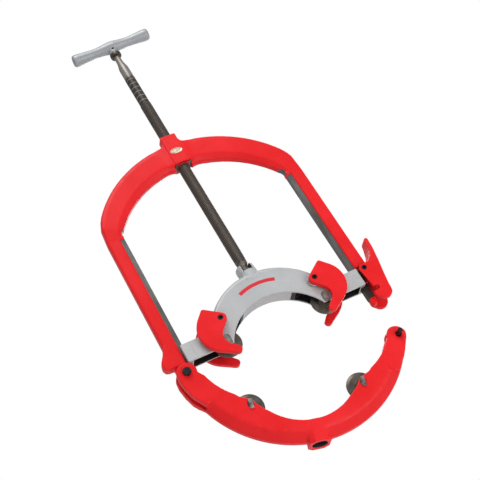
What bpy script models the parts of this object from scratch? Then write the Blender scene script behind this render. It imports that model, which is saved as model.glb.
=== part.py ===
"""Hinged four-wheel pipe cutter, modelled as separate pieces on their joint axes.

Tool frame: X across the legs, Y through the thickness (front faces -Y), Z up along the feed screw.
Every piece is modelled with the screw axis at x = y = 0 and the tops of the rails at z = 0.
The datum empty then moves the whole tool so that the origin is the centre of the boss's back face.
"""

from math import atan2, cos, pi, radians, sin, sqrt

import bmesh
import bpy
from mathutils import Matrix, Vector

MM = 0.001
GAP = 0.3 * MM              # clearance between neighbouring pieces

# Frame
LEG_OUTER_X = 200 * MM      # outer side of both legs
STEP_X = 176.2 * MM           # where the painted leg steps down to the machined rail
RAIL_X = 167.4 * MM         # inner face of the rail
LEG_HALF = 9.8 * MM         # half thickness of the legs
RAIL_HALF = 6.8 * MM        # half thickness of the machined rail
LEG_FOOT_Z = -234 * MM      # lower end of the painted right leg
CROWN_IN = (0, -94.7 * MM, 195.8 * MM)      # centre x, centre z, radius of the crown's inner arc
CROWN_OUT = (0, -71.4 * MM, 227.4 * MM)     # the same for its outer arc
SHOULDER_R = 80 * MM        # arc that joins the crown to the leg's outer side
CROWN_EDGE_HALF = 5.6 * MM  # half thickness along the crown's inner edge
CROWN_MID_HALF = 11.5 * MM  # half thickness across the crown's flat front
CROWN_RIM_HALF = 8 * MM     # half thickness along the crown's outer edge
RUNOUT_R = 10 * MM          # round end that the rail's milling leaves in the crown
RUNOUT_Z = 8 * MM

# Boss and nut
BOSS_HALF_X = 15.5 * MM
BOSS_HALF_Y = 16 * MM
BOSS_LOW_Z = 104.5 * MM
BOSS_TOP_Z = 174 * MM
NUT_R = 14 * MM

# Feed screw and handle
SCREW_R = 11.1 * MM
THREAD_LOW_Z = -137 * MM
THREAD_TOP_Z = 273 * MM
HANDLE_Z = 438 * MM
HANDLE_HALF = 83 * MM
HANDLE_TURN = radians(-4)
PIN_Z = 427 * MM            # roll pin that holds the handle on the screw

# Carriage
CARRIAGE_HALF = 17 * MM
CARRIAGE_END_X = 173.4 * MM
ARM_TOP_Z = -237.7 * MM
ARM_LOW_Z = -272.3 * MM
ARCH_OUT = (0, -288.6 * MM, 126 * MM)
ARCH_IN = (0, -316.5 * MM, 99 * MM)
SLOT_HALF = 12.5 * MM
HUB_R = 17.8 * MM
HUB_TOP_Z = -141.5 * MM
GUIDE_PIVOT = (92.2 * MM, -226.8 * MM)
GUIDE_Y = (21.9 * MM, 31 * MM)              # inner and outer face of a guide
GUIDE_ARC = (96 * MM, -245 * MM, 45 * MM)

# Cutter wheels
WHEEL_R = 25.4 * MM
WHEEL_X = 95.7 * MM
WHEEL_UP_Z = -264.3 * MM
WHEEL_LOW_Z = -363.9 * MM
WHEEL_HALF = 2.4 * MM
WHEEL_HUB_R = 11 * MM
WHEEL_HUB_HALF = 9 * MM
WHEEL_POCKET_R = 27.5 * MM
PIN_R = 5 * MM

# Lower jaw, drawn closed and turned open about the hinge for the rest pose
HINGE = (-185 * MM, -288.5 * MM)
CATCH = (185 * MM, -288.5 * MM)
REST_OPEN = radians(14.2)
BOLT_R = 4.8 * MM
BOLT_HEAD_R = 7.8 * MM      # to the corners of the hex head and nut
BOLT_HEAD = 5.5 * MM
JAW_HALF = 20 * MM
JAW_RIM_HALF = 5 * MM
JAW_CENTRE_Z = -239.5 * MM
JAW_RIDGE_R = 189 * MM
JAW_RIM_R = 203 * MM
FORK_HALF = 7.3 * MM
EAR = ((43.7, 155.0), (49.5, 149.5), (52.4, 149.0), (55.7, 152.3), (61.5, 156.4))   # degrees, mm from centre
CHEEK_R = 17.5 * MM
TAB = (181.5 * MM, -288.5 * MM)
TAB_R = 17 * MM
TAB_HALF = 14.5 * MM
SADDLE_LOW_Z = -447.5 * MM
SOCKET_R = 13 * MM

# Latch
LATCH_PIVOT = (185.5 * MM, -244.4 * MM)
LATCH_HALF = 23 * MM
LATCH_THUMB_HALF = 12 * MM     # at the tip of the thumb lever
LATCH_RELEASE = radians(18)

RED = (0.80, 0.028, 0.032, 1)
CAST_GREY = (0.45, 0.48, 0.49, 1)
DARK_STEEL = (0.075, 0.062, 0.052, 1)
BLACK = (0.012, 0.012, 0.014, 1)
BARE_STEEL = (0.30, 0.29, 0.27, 1)
BRASS = (0.66, 0.56, 0.36, 1)
FINISHES = {
    "red_paint": (RED, 0.35, 0.0),
    "grey_paint": (CAST_GREY, 0.4, 0.3),
    "dark_steel": (DARK_STEEL, 0.4, 0.9),
    "black_oxide": (BLACK, 0.45, 0.7),
    "bare_steel": (BARE_STEEL, 0.35, 0.9),
    "brass": (BRASS, 0.35, 0.8),
}

datum = None


# ---- Blender helpers ----

def clear_scene():
    for obj in list(bpy.data.objects):
        bpy.data.objects.remove(obj, do_unlink=True)


def finish_material(part_name, finish):
    colour, roughness, metallic = FINISHES[finish]
    material = bpy.data.materials.new(part_name + "_" + finish)
    material.use_nodes = True
    shader = material.node_tree.nodes["Principled BSDF"]
    shader.inputs["Base Color"].default_value = colour
    shader.inputs["Roughness"].default_value = roughness
    shader.inputs["Metallic"].default_value = metallic
    return material


def object_from(bm, name):
    bmesh.ops.recalc_face_normals(bm, faces=bm.faces)
    mesh = bpy.data.meshes.new(name)
    bm.to_mesh(mesh)
    bm.free()
    obj = bpy.data.objects.new(name, mesh)
    bpy.context.scene.collection.objects.link(obj)
    return obj


def loft(name, rings):
    """Closed solid through equal rings of points, with a flat cap on each end."""
    bm = bmesh.new()
    rows = [[bm.verts.new(point) for point in ring] for ring in rings]
    count = len(rings[0])
    for low, high in zip(rows, rows[1:]):
        for i in range(count):
            j = (i + 1) % count
            bm.faces.new((low[i], low[j], high[j], high[i]))
    bm.faces.new(rows[0])
    bm.faces.new(rows[-1])
    return object_from(bm, name)


def prism(name, outline, y_low, y_high):
    """Outline of (x, z) points carried from y_low to y_high."""
    return loft(name, [[(x, y, z) for x, z in outline] for y in (y_low, y_high)])


def rectangle(x_low, z_low, x_high, z_high):
    return [(x_low, z_low), (x_high, z_low), (x_high, z_high), (x_low, z_high)]


def box(name, low, high):
    return prism(name, rectangle(low[0], low[2], high[0], high[2]), low[1], high[1])


def turned(name, profile, centre=(0, 0, 0), axis="Z", segments=32):
    """Solid of revolution from (radius, height) pairs; both ends are on the axis or flat."""
    rings = []
    for radius, height in profile:
        ring = []
        for i in range(segments):
            angle = 2 * pi * i / segments
            a, b = radius * cos(angle), radius * sin(angle)
            point = {"Z": (a, b, height), "Y": (a, height, b), "X": (height, a, b)}[axis]
            ring.append(Vector(point) + Vector(centre))
        rings.append(ring)
    return loft(name, rings)


def rod(name, radius, centre_xz, y_low, y_high, segments=24):
    """Cylinder along Y."""
    return turned(name, [(radius, y_low), (radius, y_high)], (centre_xz[0], 0, centre_xz[1]), "Y", segments)


def combine(target, tool, operation):
    """Join or cut target with tool, which is then removed."""
    modifier = target.modifiers.new(operation.lower(), "BOOLEAN")
    modifier.operation = operation
    modifier.solver = "EXACT"
    modifier.object = tool
    graph = bpy.context.evaluated_depsgraph_get()
    graph.update()
    result = bpy.data.meshes.new_from_object(target.evaluated_get(graph))
    target.modifiers.clear()
    target.data = result
    bpy.data.objects.remove(tool, do_unlink=True)
    return target


def cut(target, *tools):
    for tool in tools:
        combine(target, tool, "DIFFERENCE")
    return target


def join(target, *tools):
    for tool in tools:
        combine(target, tool, "UNION")
    return target


def place(obj, finish, pivot_xz=None, parent=None):
    """Give a piece its material, its origin on its axis, and its parent."""
    obj.data.materials.clear()
    obj.data.materials.append(finish_material(obj.name, finish))
    obj.data.shade_smooth()
    obj.data.set_sharp_from_angle(angle=radians(35))
    obj.parent = parent or datum
    if pivot_xz:
        pivot = Vector((pivot_xz[0], 0, pivot_xz[1]))
        obj.data.transform(Matrix.Translation(-pivot))
        obj.location = pivot - (parent.location if parent else Vector())
    elif parent:
        obj.data.transform(Matrix.Translation(-parent.location))
    return obj


# ---- Outline helpers, in (x, z) ----

def arc(centre_x, centre_z, radius, start_deg, end_deg, steps):
    points = []
    for i in range(steps + 1):
        angle = radians(start_deg + (end_deg - start_deg) * i / steps)
        points.append((centre_x + radius * cos(angle), centre_z + radius * sin(angle)))
    return points


def mirrored(points):
    return [(-x, z) for x, z in reversed(points)]


def turned_points(points, pivot, angle):
    """Points swung about an axis along Y through the pivot."""
    swung = []
    for x, z in points:
        dx, dz = x - pivot[0], z - pivot[1]
        across = dx * cos(angle) + dz * sin(angle)
        up = dz * cos(angle) - dx * sin(angle)
        swung.append((pivot[0] + across, pivot[1] + up))
    return swung


def both_sides(make):
    """Run make with side = -1 for the left and +1 for the right."""
    return [make(side) for side in (-1, 1)]


# ---- Frame ----

def shoulder_centre():
    x = LEG_OUTER_X - SHOULDER_R
    reach = CROWN_OUT[2] - SHOULDER_R
    return x, CROWN_OUT[1] + sqrt(reach ** 2 - x ** 2)


def crown_station(angle):
    """Inner and outer (x, z) of the crown at an angle measured about the inner arc's centre."""
    inner = (CROWN_IN[2] * cos(angle), CROWN_IN[1] + CROWN_IN[2] * sin(angle))
    inner = (max(-RAIL_X, min(RAIL_X, inner[0])), inner[1])
    sx, sz = shoulder_centre()
    shoulder_top = atan2(sz - CROWN_OUT[1], sx)
    ray = Vector((cos(angle), sin(angle)))
    # outer arc first, then the shoulder arc where the ray passes outside the tangent point
    out = ray_to_circle(ray, CROWN_OUT[0], CROWN_OUT[1], CROWN_OUT[2])
    bearing = atan2(out[1] - CROWN_OUT[1], abs(out[0]))
    if bearing < shoulder_top:
        side = 1 if ray.x > 0 else -1
        out = ray_to_circle(ray, side * sx, sz, SHOULDER_R)
    return inner, out


def ray_to_circle(ray, centre_x, centre_z, radius):
    """Far crossing of a ray from the inner arc's centre with a circle."""
    ox, oz = -centre_x, CROWN_IN[1] - centre_z
    along = ox * ray.x + oz * ray.y
    reach = -along + sqrt(along ** 2 - (ox ** 2 + oz ** 2 - radius ** 2))
    return reach * ray.x, CROWN_IN[1] + reach * ray.y


def frame_ring(inner, outer, edge_half, mid_half, rim_half):
    """Section across the frame: inner edge face, slope up to a flat front, rounded outer rim."""
    steps = [(0.0, edge_half), (0.04, edge_half + 0.2 * (mid_half - edge_half)),
             (0.22, mid_half), (0.84, mid_half), (0.95, mid_half - 0.3 * (mid_half - rim_half)),
             (1.0, rim_half)]
    front = [(inner[0] + t * (outer[0] - inner[0]), -half, inner[1] + t * (outer[1] - inner[1]))
             for t, half in steps]
    back = [(x, -y, z) for x, y, z in reversed(front)]
    return front + back


def leg_ring(side, z, half):
    """Section across a leg: square inner edge, small rounding on the outer one."""
    corner = 3.5 * MM
    steps = [(RAIL_X, half), (RAIL_X + 1 * MM, half), (STEP_X + 4 * MM, half),
             (LEG_OUTER_X - 1.6 * corner, half), (LEG_OUTER_X - 0.35 * corner, half - 0.35 * corner),
             (LEG_OUTER_X, half - corner)]
    front = [(side * x, -y, z) for x, y in steps]
    back = [(x, -y, z) for x, y, z in reversed(front)]
    return front + back


def main_frame():
    rings = [leg_ring(1, LEG_FOOT_Z, LEG_HALF), leg_ring(1, 0, LEG_HALF)]
    low_angle = atan2(CROWN_IN[1] * -1 + 16 * MM, RAIL_X)
    stations = 38
    for i in range(stations + 1):
        angle = low_angle + (pi - 2 * low_angle) * i / stations
        inner, outer = crown_station(angle)
        rings.append(frame_ring(inner, outer, CROWN_EDGE_HALF, CROWN_MID_HALF, CROWN_RIM_HALF))
    rings += [leg_ring(-1, 0, LEG_HALF), leg_ring(-1, LEG_FOOT_Z, LEG_HALF)]
    frame = loft("main_frame", rings)
    join(frame, boss(), left_foot(), *both_sides(leg_tongue))
    for side in (-1, 1):
        for face in (-1, 1):
            cut(frame, rail_step(side, face))
        cut(frame, rod("runout", RUNOUT_R, (side * (RAIL_X - RUNOUT_R), RUNOUT_Z), -30 * MM, 30 * MM, 32))
    nut_z = (BOSS_LOW_Z - 10 * MM, BOSS_TOP_Z - 22 * MM)
    flange_x = BOSS_HALF_X + GAP
    cut(frame,
        box("flange_seat", (-flange_x, -BOSS_HALF_Y, 80 * MM), (flange_x, BOSS_HALF_Y, BOSS_LOW_Z)),
        turned("nut_seat", [(NUT_R + GAP, nut_z[0]), (NUT_R + GAP, nut_z[1])]),
        turned("screw_way", [(SCREW_R + 0.6 * MM, BOSS_LOW_Z), (SCREW_R + 0.6 * MM, BOSS_TOP_Z + 10 * MM)]),
        rod("hinge_hole", BOLT_R + GAP, HINGE, -30 * MM, 30 * MM),
        rod("latch_hole", 4.8 * MM, LATCH_PIVOT, -30 * MM, 30 * MM))
    return place(frame, "red_paint")


def boss_ring(half_x, z):
    """Flat front face, sides that swell slightly, narrower flat back face."""
    right = [(half_x, -BOSS_HALF_Y), (half_x + 1.5 * MM, 4 * MM), (half_x - 3 * MM, BOSS_HALF_Y)]
    left = [(-x, y) for x, y in reversed(right)]
    return [(x, y, z) for x, y in right + left]


def boss():
    low, top = BOSS_LOW_Z, BOSS_TOP_Z
    wide = BOSS_HALF_X + 11 * MM
    body = loft("boss", [boss_ring(BOSS_HALF_X, low), boss_ring(BOSS_HALF_X, top)])
    # flare where the boss runs out into the crown, behind its flat front face
    z0, z1 = low + 3 * MM, 148 * MM
    flare = [(-wide, z0), (wide, z0), (wide, z1), (BOSS_HALF_X + 2 * MM, z1 + 9 * MM),
             (-BOSS_HALF_X - 2 * MM, z1 + 9 * MM), (-wide, z1)]
    half_y = CROWN_MID_HALF + 0.4 * MM
    return join(body, prism("flare", flare, -half_y, half_y))


def left_foot():
    """Stop block outside the hinge, with room for the jaw's round cheeks."""
    outline = [(-195 * MM, -224 * MM), (-200 * MM, -228 * MM), (-206 * MM, -240 * MM),
               (-213 * MM, -250 * MM),
               (-215 * MM, -259 * MM), (-212 * MM, -266 * MM), (-206 * MM, -268.5 * MM),
               (-170 * MM, -268.5 * MM), (-RAIL_X, -268 * MM), (-RAIL_X, -224 * MM)]
    foot = prism("left_foot", outline, -LEG_HALF, LEG_HALF)
    for face in (-1, 1):
        low, high = sorted((face * RAIL_HALF, face * 20 * MM))
        cut(foot, rod("cheek_room", CHEEK_R + 1.2 * MM, HINGE, low, high, 48))
    return foot


def leg_tongue(side):
    """Machined flat below each leg: it carries the hinge on the left and the latch on the right."""
    if side < 0:
        outline = [(RAIL_X, -222 * MM), (RAIL_X, -312 * MM), (173 * MM, -318 * MM), (192 * MM, -318 * MM),
                   (198 * MM, -311 * MM), (198 * MM, -222 * MM)]
    else:
        outline = [(RAIL_X, -222 * MM), (RAIL_X, -305 * MM), (170 * MM, -310 * MM), (177 * MM, -310 * MM),
                   (179.6 * MM, -305 * MM), (179.6 * MM, -268 * MM), (190 * MM, -262 * MM),
                   (199 * MM, -252 * MM), (199 * MM, -222 * MM)]
    return prism("leg_tongue", [(side * x, z) for x, z in outline], -RAIL_HALF, RAIL_HALF)


def rail_step(side, face):
    """Metal milled off one face of a rail."""
    x_low, x_high = sorted((side * (RAIL_X - 20 * MM), side * STEP_X))
    y_low, y_high = sorted((face * RAIL_HALF, face * 30 * MM))
    return box("rail_step", (x_low, y_low, -330 * MM), (x_high, y_high, 0))


def feed_nut():
    low = BOSS_LOW_Z - 3 * MM
    seat_top = BOSS_TOP_Z - 22 * MM - GAP
    nut = box("feed_nut", (-BOSS_HALF_X, -13 * MM, low), (BOSS_HALF_X, 13 * MM, BOSS_LOW_Z - GAP))
    join(nut, turned("barrel", [(NUT_R, low + 1 * MM), (NUT_R, seat_top)]))
    cut(nut, turned("bore", [(SCREW_R + GAP, low - 5 * MM), (SCREW_R + GAP, seat_top + 5 * MM)]))
    return place(nut, "bare_steel")


def badge():
    centre_z = 132.5 * MM
    angles = [2 * pi * i / 40 for i in range(40)]
    outline = [(12 * MM * cos(a), centre_z + 6.3 * MM * sin(a)) for a in angles]
    plate = prism("plain_badge", outline, -BOSS_HALF_Y - GAP - 1 * MM, -BOSS_HALF_Y - GAP)
    return place(plate, "brass")


# ---- Feed screw and handle ----

def feed_screw():
    profile = [(6.2 * MM, -171 * MM), (7.5 * MM, -169.5 * MM), (7.5 * MM, -161 * MM), (5.6 * MM, -160 * MM),
               (5.6 * MM, -155 * MM), (7.5 * MM, -154 * MM), (7.5 * MM, -143 * MM), (8.6 * MM, -141 * MM),
               (SCREW_R, THREAD_LOW_Z), (SCREW_R, THREAD_TOP_Z), (10.3 * MM, THREAD_TOP_Z + 2 * MM),
               (10.3 * MM, 344 * MM), (9.9 * MM, 347 * MM), (9.9 * MM, 375 * MM), (6.6 * MM, 390 * MM),
               (6.4 * MM, 409 * MM), (6.4 * MM, 436 * MM)]
    screw = turned("feed_screw", profile, segments=24)
    hole = rod("pin_hole", 2.5 * MM + GAP, (0, PIN_Z), -20 * MM, 20 * MM, 12)
    hole.data.transform(Matrix.Rotation(HANDLE_TURN, 4, "Z"))
    return place(cut(screw, hole), "dark_steel")


def handle_collar():
    low, high = 409.5 * MM, 418.5 * MM
    profile = [(10.2 * MM, low), (11.4 * MM, low + 2 * MM), (11.4 * MM, high - 2 * MM), (10.2 * MM, high)]
    collar = turned("handle_collar", profile, segments=28)
    cut(collar, turned("bore", [(6.4 * MM + GAP, low - 5 * MM), (6.4 * MM + GAP, high + 5 * MM)]))
    return place(collar, "black_oxide")


def t_handle():
    """Waisted cross bar with a short hub below it."""
    def bar_radius(x):
        t = abs(x) / HANDLE_HALF
        return (11.4 + 3.0 * (1 - t / 0.45) ** 2 * (t < 0.45) + 2.6 * max(0, (t - 0.45) / 0.5) ** 1.5) * MM
    xs = [HANDLE_HALF * (i / 9 - 1) for i in range(1, 18)]
    profile = [(4 * MM, -HANDLE_HALF), (10 * MM, -HANDLE_HALF + 1.6 * MM), (13 * MM, -HANDLE_HALF + 5 * MM)]
    profile += [(bar_radius(x), x) for x in xs]
    profile += [(r, -x) for r, x in reversed(profile[:3])]
    handle = turned("t_handle", profile, (0, 0, HANDLE_Z), "X", 20)
    join(handle, turned("hub", [(9.6 * MM, 419 * MM), (10.6 * MM, HANDLE_Z - 4 * MM)], segments=28))
    cut(handle,
        turned("bore", [(6.4 * MM + GAP, 400 * MM), (6.4 * MM + GAP, 436.5 * MM)], segments=28),
        rod("pin_hole", 2.5 * MM + GAP, (0, PIN_Z), -20 * MM, 20 * MM, 12))
    handle.data.transform(Matrix.Rotation(HANDLE_TURN, 4, "Z"))
    return place(handle, "grey_paint")


def handle_pin():
    """Roll pin across the hub and the screw's neck."""
    pin = rod("handle_pin", 2.5 * MM, (0, PIN_Z), -9.4 * MM, 9.4 * MM, 12)
    pin.data.transform(Matrix.Rotation(HANDLE_TURN, 4, "Z"))
    return place(pin, "black_oxide")


# ---- Carriage ----

def carriage_outline():
    reach = sqrt(ARCH_OUT[2] ** 2 - (ARM_TOP_Z - ARCH_OUT[1]) ** 2)
    start = atan2(ARM_TOP_Z - ARCH_OUT[1], reach) * 180 / pi
    outer = arc(0, ARCH_OUT[1], ARCH_OUT[2], start, 90, 18)
    mouth = 86 * MM
    mouth_z = ARCH_IN[1] + sqrt(ARCH_IN[2] ** 2 - mouth ** 2)
    inner_start = atan2(mouth_z - ARCH_IN[1], mouth) * 180 / pi
    inner = arc(0, ARCH_IN[1], ARCH_IN[2], inner_start, 90, 14)
    right = list(reversed(inner)) + [(mouth + 2 * MM, ARM_LOW_Z), (CARRIAGE_END_X, ARM_LOW_Z),
                                     (CARRIAGE_END_X, ARM_TOP_Z)] + outer
    return right + mirrored(right)[1:-1]


def carriage():
    body = prism("carriage", carriage_outline(), -CARRIAGE_HALF, CARRIAGE_HALF)
    join(body, turned("hub", [(HUB_R, -190 * MM), (HUB_R, HUB_TOP_Z - 3 * MM), (HUB_R - 2 * MM, HUB_TOP_Z)]))
    for side in (-1, 1):
        slot = [(48 * MM, -300 * MM), (48 * MM, -243 * MM), (57 * MM, -229 * MM), (80 * MM, -229 * MM),
                (120 * MM, -247 * MM), (163 * MM, -247 * MM), (163 * MM, -300 * MM)]
        x_low, x_high = sorted((side * (RAIL_X - 0.6 * MM), side * 180 * MM))
        cut(body,
            prism("wheel_slot", [(side * x, z) for x, z in slot], -SLOT_HALF, SLOT_HALF),
            box("rail_groove", (x_low, -RAIL_HALF - GAP, -300 * MM), (x_high, RAIL_HALF + GAP, -200 * MM)),
            rod("wheel_hole", PIN_R + GAP, (side * WHEEL_X, WHEEL_UP_Z), -40 * MM, 40 * MM),
            rod("guide_hole", 4.8 * MM, (side * GUIDE_PIVOT[0], GUIDE_PIVOT[1]), -40 * MM, 40 * MM))
    cut(body, turned("neck_bore", [(7.9 * MM, -175 * MM), (7.9 * MM, -146 * MM), (9.2 * MM, -141 * MM),
                                   (12.5 * MM, -136 * MM)]))
    for side in (-1, 1):
        cut(body, rod("retainer_hole", 2 * MM + GAP, (side * 7.9 * MM, -157.5 * MM), -40 * MM, 40 * MM, 16))
    return place(body, "grey_paint")


def retaining_pin(side, name):
    """Pin that runs through the hub in the screw's groove, so that the screw turns but can't lift out."""
    return place(rod(name, 2 * MM, (side * 7.9 * MM, -157.5 * MM), -16 * MM, 16 * MM, 16), "bare_steel")


def wheel(name, x, z, parent=None):
    """Hardened cutter wheel: sharp rim, flat web, round hub."""
    profile = [(PIN_R + GAP, -WHEEL_HUB_HALF), (WHEEL_HUB_R, -WHEEL_HUB_HALF), (WHEEL_HUB_R, -WHEEL_HALF),
               (WHEEL_R - 5 * MM, -WHEEL_HALF), (WHEEL_R, 0), (WHEEL_R - 5 * MM, WHEEL_HALF),
               (WHEEL_HUB_R, WHEEL_HALF), (WHEEL_HUB_R, WHEEL_HUB_HALF), (PIN_R + GAP, WHEEL_HUB_HALF)]
    segments = 30
    bm = bmesh.new()
    rows = []
    for i in range(segments):
        turn = 2 * pi * i / segments
        rows.append([bm.verts.new((x + r * cos(turn), y, z + r * sin(turn))) for r, y in profile])
    for row, following in zip(rows, rows[1:] + rows[:1]):
        for i in range(len(profile)):
            j = (i + 1) % len(profile)
            bm.faces.new((row[i], row[j], following[j], following[i]))
    return place(object_from(bm, name), "dark_steel", (x, z), parent)


def carriage_wheel_pin(side, name):
    x, z = side * WHEEL_X, WHEEL_UP_Z
    pin = rod(name, PIN_R, (x, z), -CARRIAGE_HALF - 0.5 * MM, CARRIAGE_HALF + 1.5 * MM)
    head_low, head_high = -CARRIAGE_HALF - 1.8 * MM, -CARRIAGE_HALF - GAP
    head = arc(x, z + 5 * MM, 5.5 * MM, 0, 180, 8) + arc(x, z - 4 * MM, 5.5 * MM, 180, 360, 8)
    return place(join(pin, prism("head", head, head_low, head_high)), "dark_steel")


def guide_outline(side):
    """Hook plate: pivot corner, swept outer edge, rounded tip below the wheel, hollow inner edge."""
    px, pz = GUIDE_PIVOT
    outer = arc(GUIDE_ARC[0], GUIDE_ARC[1], GUIDE_ARC[2], 48, -58, 14)
    tip = arc(91.8 * MM, -291.8 * MM, 7 * MM, -65, -205, 7)
    inner = [(93 * MM, -281 * MM), (100 * MM, -276 * MM), (103.5 * MM, -269 * MM), (104.2 * MM, -261 * MM),
             (102 * MM, -254 * MM), (97 * MM, -248 * MM), (90 * MM, -241 * MM), (83.5 * MM, -234.5 * MM)]
    corner = arc(px - 1 * MM, pz - 0.5 * MM, 9.5 * MM, 205, 115, 5)
    crest = [(112.5 * MM, -200.8 * MM), (116 * MM, -200.8 * MM)]
    return [(side * x, z) for x, z in crest + outer + tip + inner + corner]


def guide(side, face, name):
    low, high = sorted((face * GUIDE_Y[0], face * GUIDE_Y[1]))
    pivot = (side * GUIDE_PIVOT[0], GUIDE_PIVOT[1])
    plate = prism(name, guide_outline(side), low, high)
    cut(plate, rod("pin_hole", 4.5 * MM + GAP, pivot, -40 * MM, 40 * MM))
    return place(plate, "red_paint", pivot)


def guide_pin(side, name):
    """Hollow roll pin that carries a front and a back guide."""
    pivot = (side * GUIDE_PIVOT[0], GUIDE_PIVOT[1])
    pin = rod(name, 4.5 * MM, pivot, -GUIDE_Y[1] - 0.4 * MM, GUIDE_Y[1] + 0.4 * MM)
    cut(pin, rod("hollow", 2.2 * MM, pivot, -50 * MM, 50 * MM, 16))
    return place(pin, "black_oxide", pivot)


def guide_washer(side, face, name):
    pivot = (side * GUIDE_PIVOT[0], GUIDE_PIVOT[1])
    low, high = sorted((face * (CARRIAGE_HALF + GAP), face * (GUIDE_Y[0] - GAP)))
    washer = rod(name, 12.5 * MM, pivot, low, high, 24)
    cut(washer, rod("hole", 4.8 * MM, pivot, -40 * MM, 40 * MM))
    return place(washer, "bare_steel")


# ---- Lower jaw ----

def jaw_inner_radius(angle):
    """Distance from the jaw's centre to its inner edge, for an angle below the horizontal."""
    x_dir, z_dir = cos(angle), -sin(angle)
    middle = circle_reach(x_dir, z_dir, 0, -310.7 * MM, 98.7 * MM)
    side_x = 56 * MM if x_dir > 0 else -56 * MM
    wing = circle_reach(x_dir, z_dir, side_x, -241.5 * MM, 117.1 * MM)
    below = min(angle, pi - angle) * 180 / pi
    if below < EAR[0][0]:
        return wing
    if below > EAR[-1][0]:
        return middle
    for (a0, r0), (a1, r1) in zip(EAR, EAR[1:]):
        if below <= a1:
            return (r0 + (r1 - r0) * (below - a0) / (a1 - a0)) * MM


def circle_reach(x_dir, z_dir, centre_x, centre_z, radius):
    """Far crossing of a ray from the jaw's centre with a circle."""
    ox, oz = -centre_x, JAW_CENTRE_Z - centre_z
    along = ox * x_dir + oz * z_dir
    return -along + sqrt(along ** 2 - (ox ** 2 + oz ** 2 - radius ** 2))


def jaw_ring(angle, half):
    """Section across the jaw: flat faces to the ridge, then a slope to the narrow rim."""
    inner = jaw_inner_radius(angle)
    spots = [(inner + 1.2 * MM, -half), (JAW_RIDGE_R, -half), (JAW_RIM_R, -JAW_RIM_HALF),
             (JAW_RIM_R, JAW_RIM_HALF), (JAW_RIDGE_R, half), (inner + 1.2 * MM, half),
             (inner, half - 1.2 * MM), (inner, 1.2 * MM - half)]
    return [(r * cos(angle), y, JAW_CENTRE_Z - r * sin(angle)) for r, y in spots]


def lower_jaw(axis):
    left_angle = radians(159)
    right_angle = radians(21)
    stations = 48
    rings = []
    for i in range(stations + 1):
        angle = right_angle + (left_angle - right_angle) * i / stations
        rings.append(jaw_ring(angle, JAW_HALF))
    jaw = loft("lower_jaw", rings)
    outline_left = arc(HINGE[0], HINGE[1], CHEEK_R, 185, -8, 14)
    outline_left += [(-157.5 * MM, -300 * MM), (-150 * MM, -330 * MM), (-163 * MM, -353 * MM),
                     (-183 * MM, -334 * MM), (-193 * MM, -318 * MM), (-200 * MM, -302 * MM)]
    outline_right = arc(TAB[0], TAB[1], TAB_R, 180, 0, 14)
    outline_right += [(196.5 * MM, -297 * MM), (193 * MM, -305 * MM), (187.5 * MM, -318 * MM),
                      (181 * MM, -331 * MM), (162 * MM, -358 * MM), (150 * MM, -330 * MM),
                      (157.5 * MM, -300 * MM)]
    join(jaw, prism("cheeks", outline_left, -JAW_HALF, JAW_HALF))
    join(jaw, prism("tabs", outline_right, -TAB_HALF, TAB_HALF))
    join(jaw, saddle())
    for face in (-1, 1):
        low, high = sorted((face * TAB_HALF, face * 30 * MM))
        step = [(230 * MM, -250 * MM), (136 * MM, -250 * MM), (139 * MM, -318 * MM), (150 * MM, -350 * MM),
                (158 * MM, -355 * MM), (190 * MM, -385 * MM), (230 * MM, -385 * MM)]
        cut(jaw, prism("tab_step", step, low, high))
    cut(jaw,
        box("left_fork", (-230 * MM, -FORK_HALF, -353 * MM), (-120 * MM, FORK_HALF, -250 * MM)),
        box("right_fork", (140 * MM, -FORK_HALF, -334 * MM), (230 * MM, FORK_HALF, -250 * MM)),
        rod("hinge_hole", BOLT_R + GAP, HINGE, -40 * MM, 40 * MM),
        rod("catch_hole", 4.5 * MM + GAP, CATCH, -40 * MM, 40 * MM),
        turned("socket", [(SOCKET_R, -470 * MM), (SOCKET_R, -418 * MM)]))
    for side in (-1, 1):
        centre = (side * WHEEL_X, WHEEL_LOW_Z)
        cut(jaw, rod("wheel_pocket", WHEEL_POCKET_R, centre, -10.5 * MM, 10.5 * MM, 40),
            rod("wheel_hole", PIN_R + GAP, centre, -40 * MM, 40 * MM))
    return place(jaw, "red_paint", parent=axis)


def saddle():
    """Eight-sided boss for the carrying handle, at the bottom of the jaw."""
    half_x, half_y, corner = 18.5 * MM, 21.5 * MM, 8.5 * MM
    outline = [(half_x, half_y - corner), (half_x - corner, half_y), (corner - half_x, half_y),
               (-half_x, half_y - corner), (-half_x, corner - half_y), (corner - half_x, -half_y),
               (half_x - corner, -half_y), (half_x, corner - half_y)]
    return loft("saddle", [[(x, y, z) for x, y in outline] for z in (SADDLE_LOW_Z, -409.6 * MM)])


def catch_pin(axis):
    """Cross pin that the latch hooks over; it stands out of both tabs."""
    return place(rod("catch_pin", 4.5 * MM, CATCH, -27.5 * MM, 27.5 * MM), "black_oxide", parent=axis)


def jaw_wheel_pin(side, name, axis):
    """Wheel pin with a flat-sided tang on the front cheek."""
    x, z = side * WHEEL_X, WHEEL_LOW_Z
    pin = rod(name, PIN_R, (x, z), -JAW_HALF - 0.5 * MM, JAW_HALF + 1.5 * MM)
    tang = rectangle(x - 4.3 * MM, z - 8.6 * MM, x + 4.3 * MM, z + 8.6 * MM)
    join(pin, prism("tang", tang, -JAW_HALF - 2.5 * MM, -JAW_HALF - GAP))
    return place(pin, "bare_steel", parent=axis)


def hinge_bolt():
    """Hex-head bolt through the jaw's cheeks and the left leg."""
    bolt = rod("hinge_bolt", BOLT_R, HINGE, -JAW_HALF - 0.5 * MM, 29 * MM)
    head = arc(HINGE[0], HINGE[1], BOLT_HEAD_R, 30, 330, 5)
    return place(join(bolt, prism("head", head, -JAW_HALF - BOLT_HEAD, -JAW_HALF - GAP)), "black_oxide")


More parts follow.
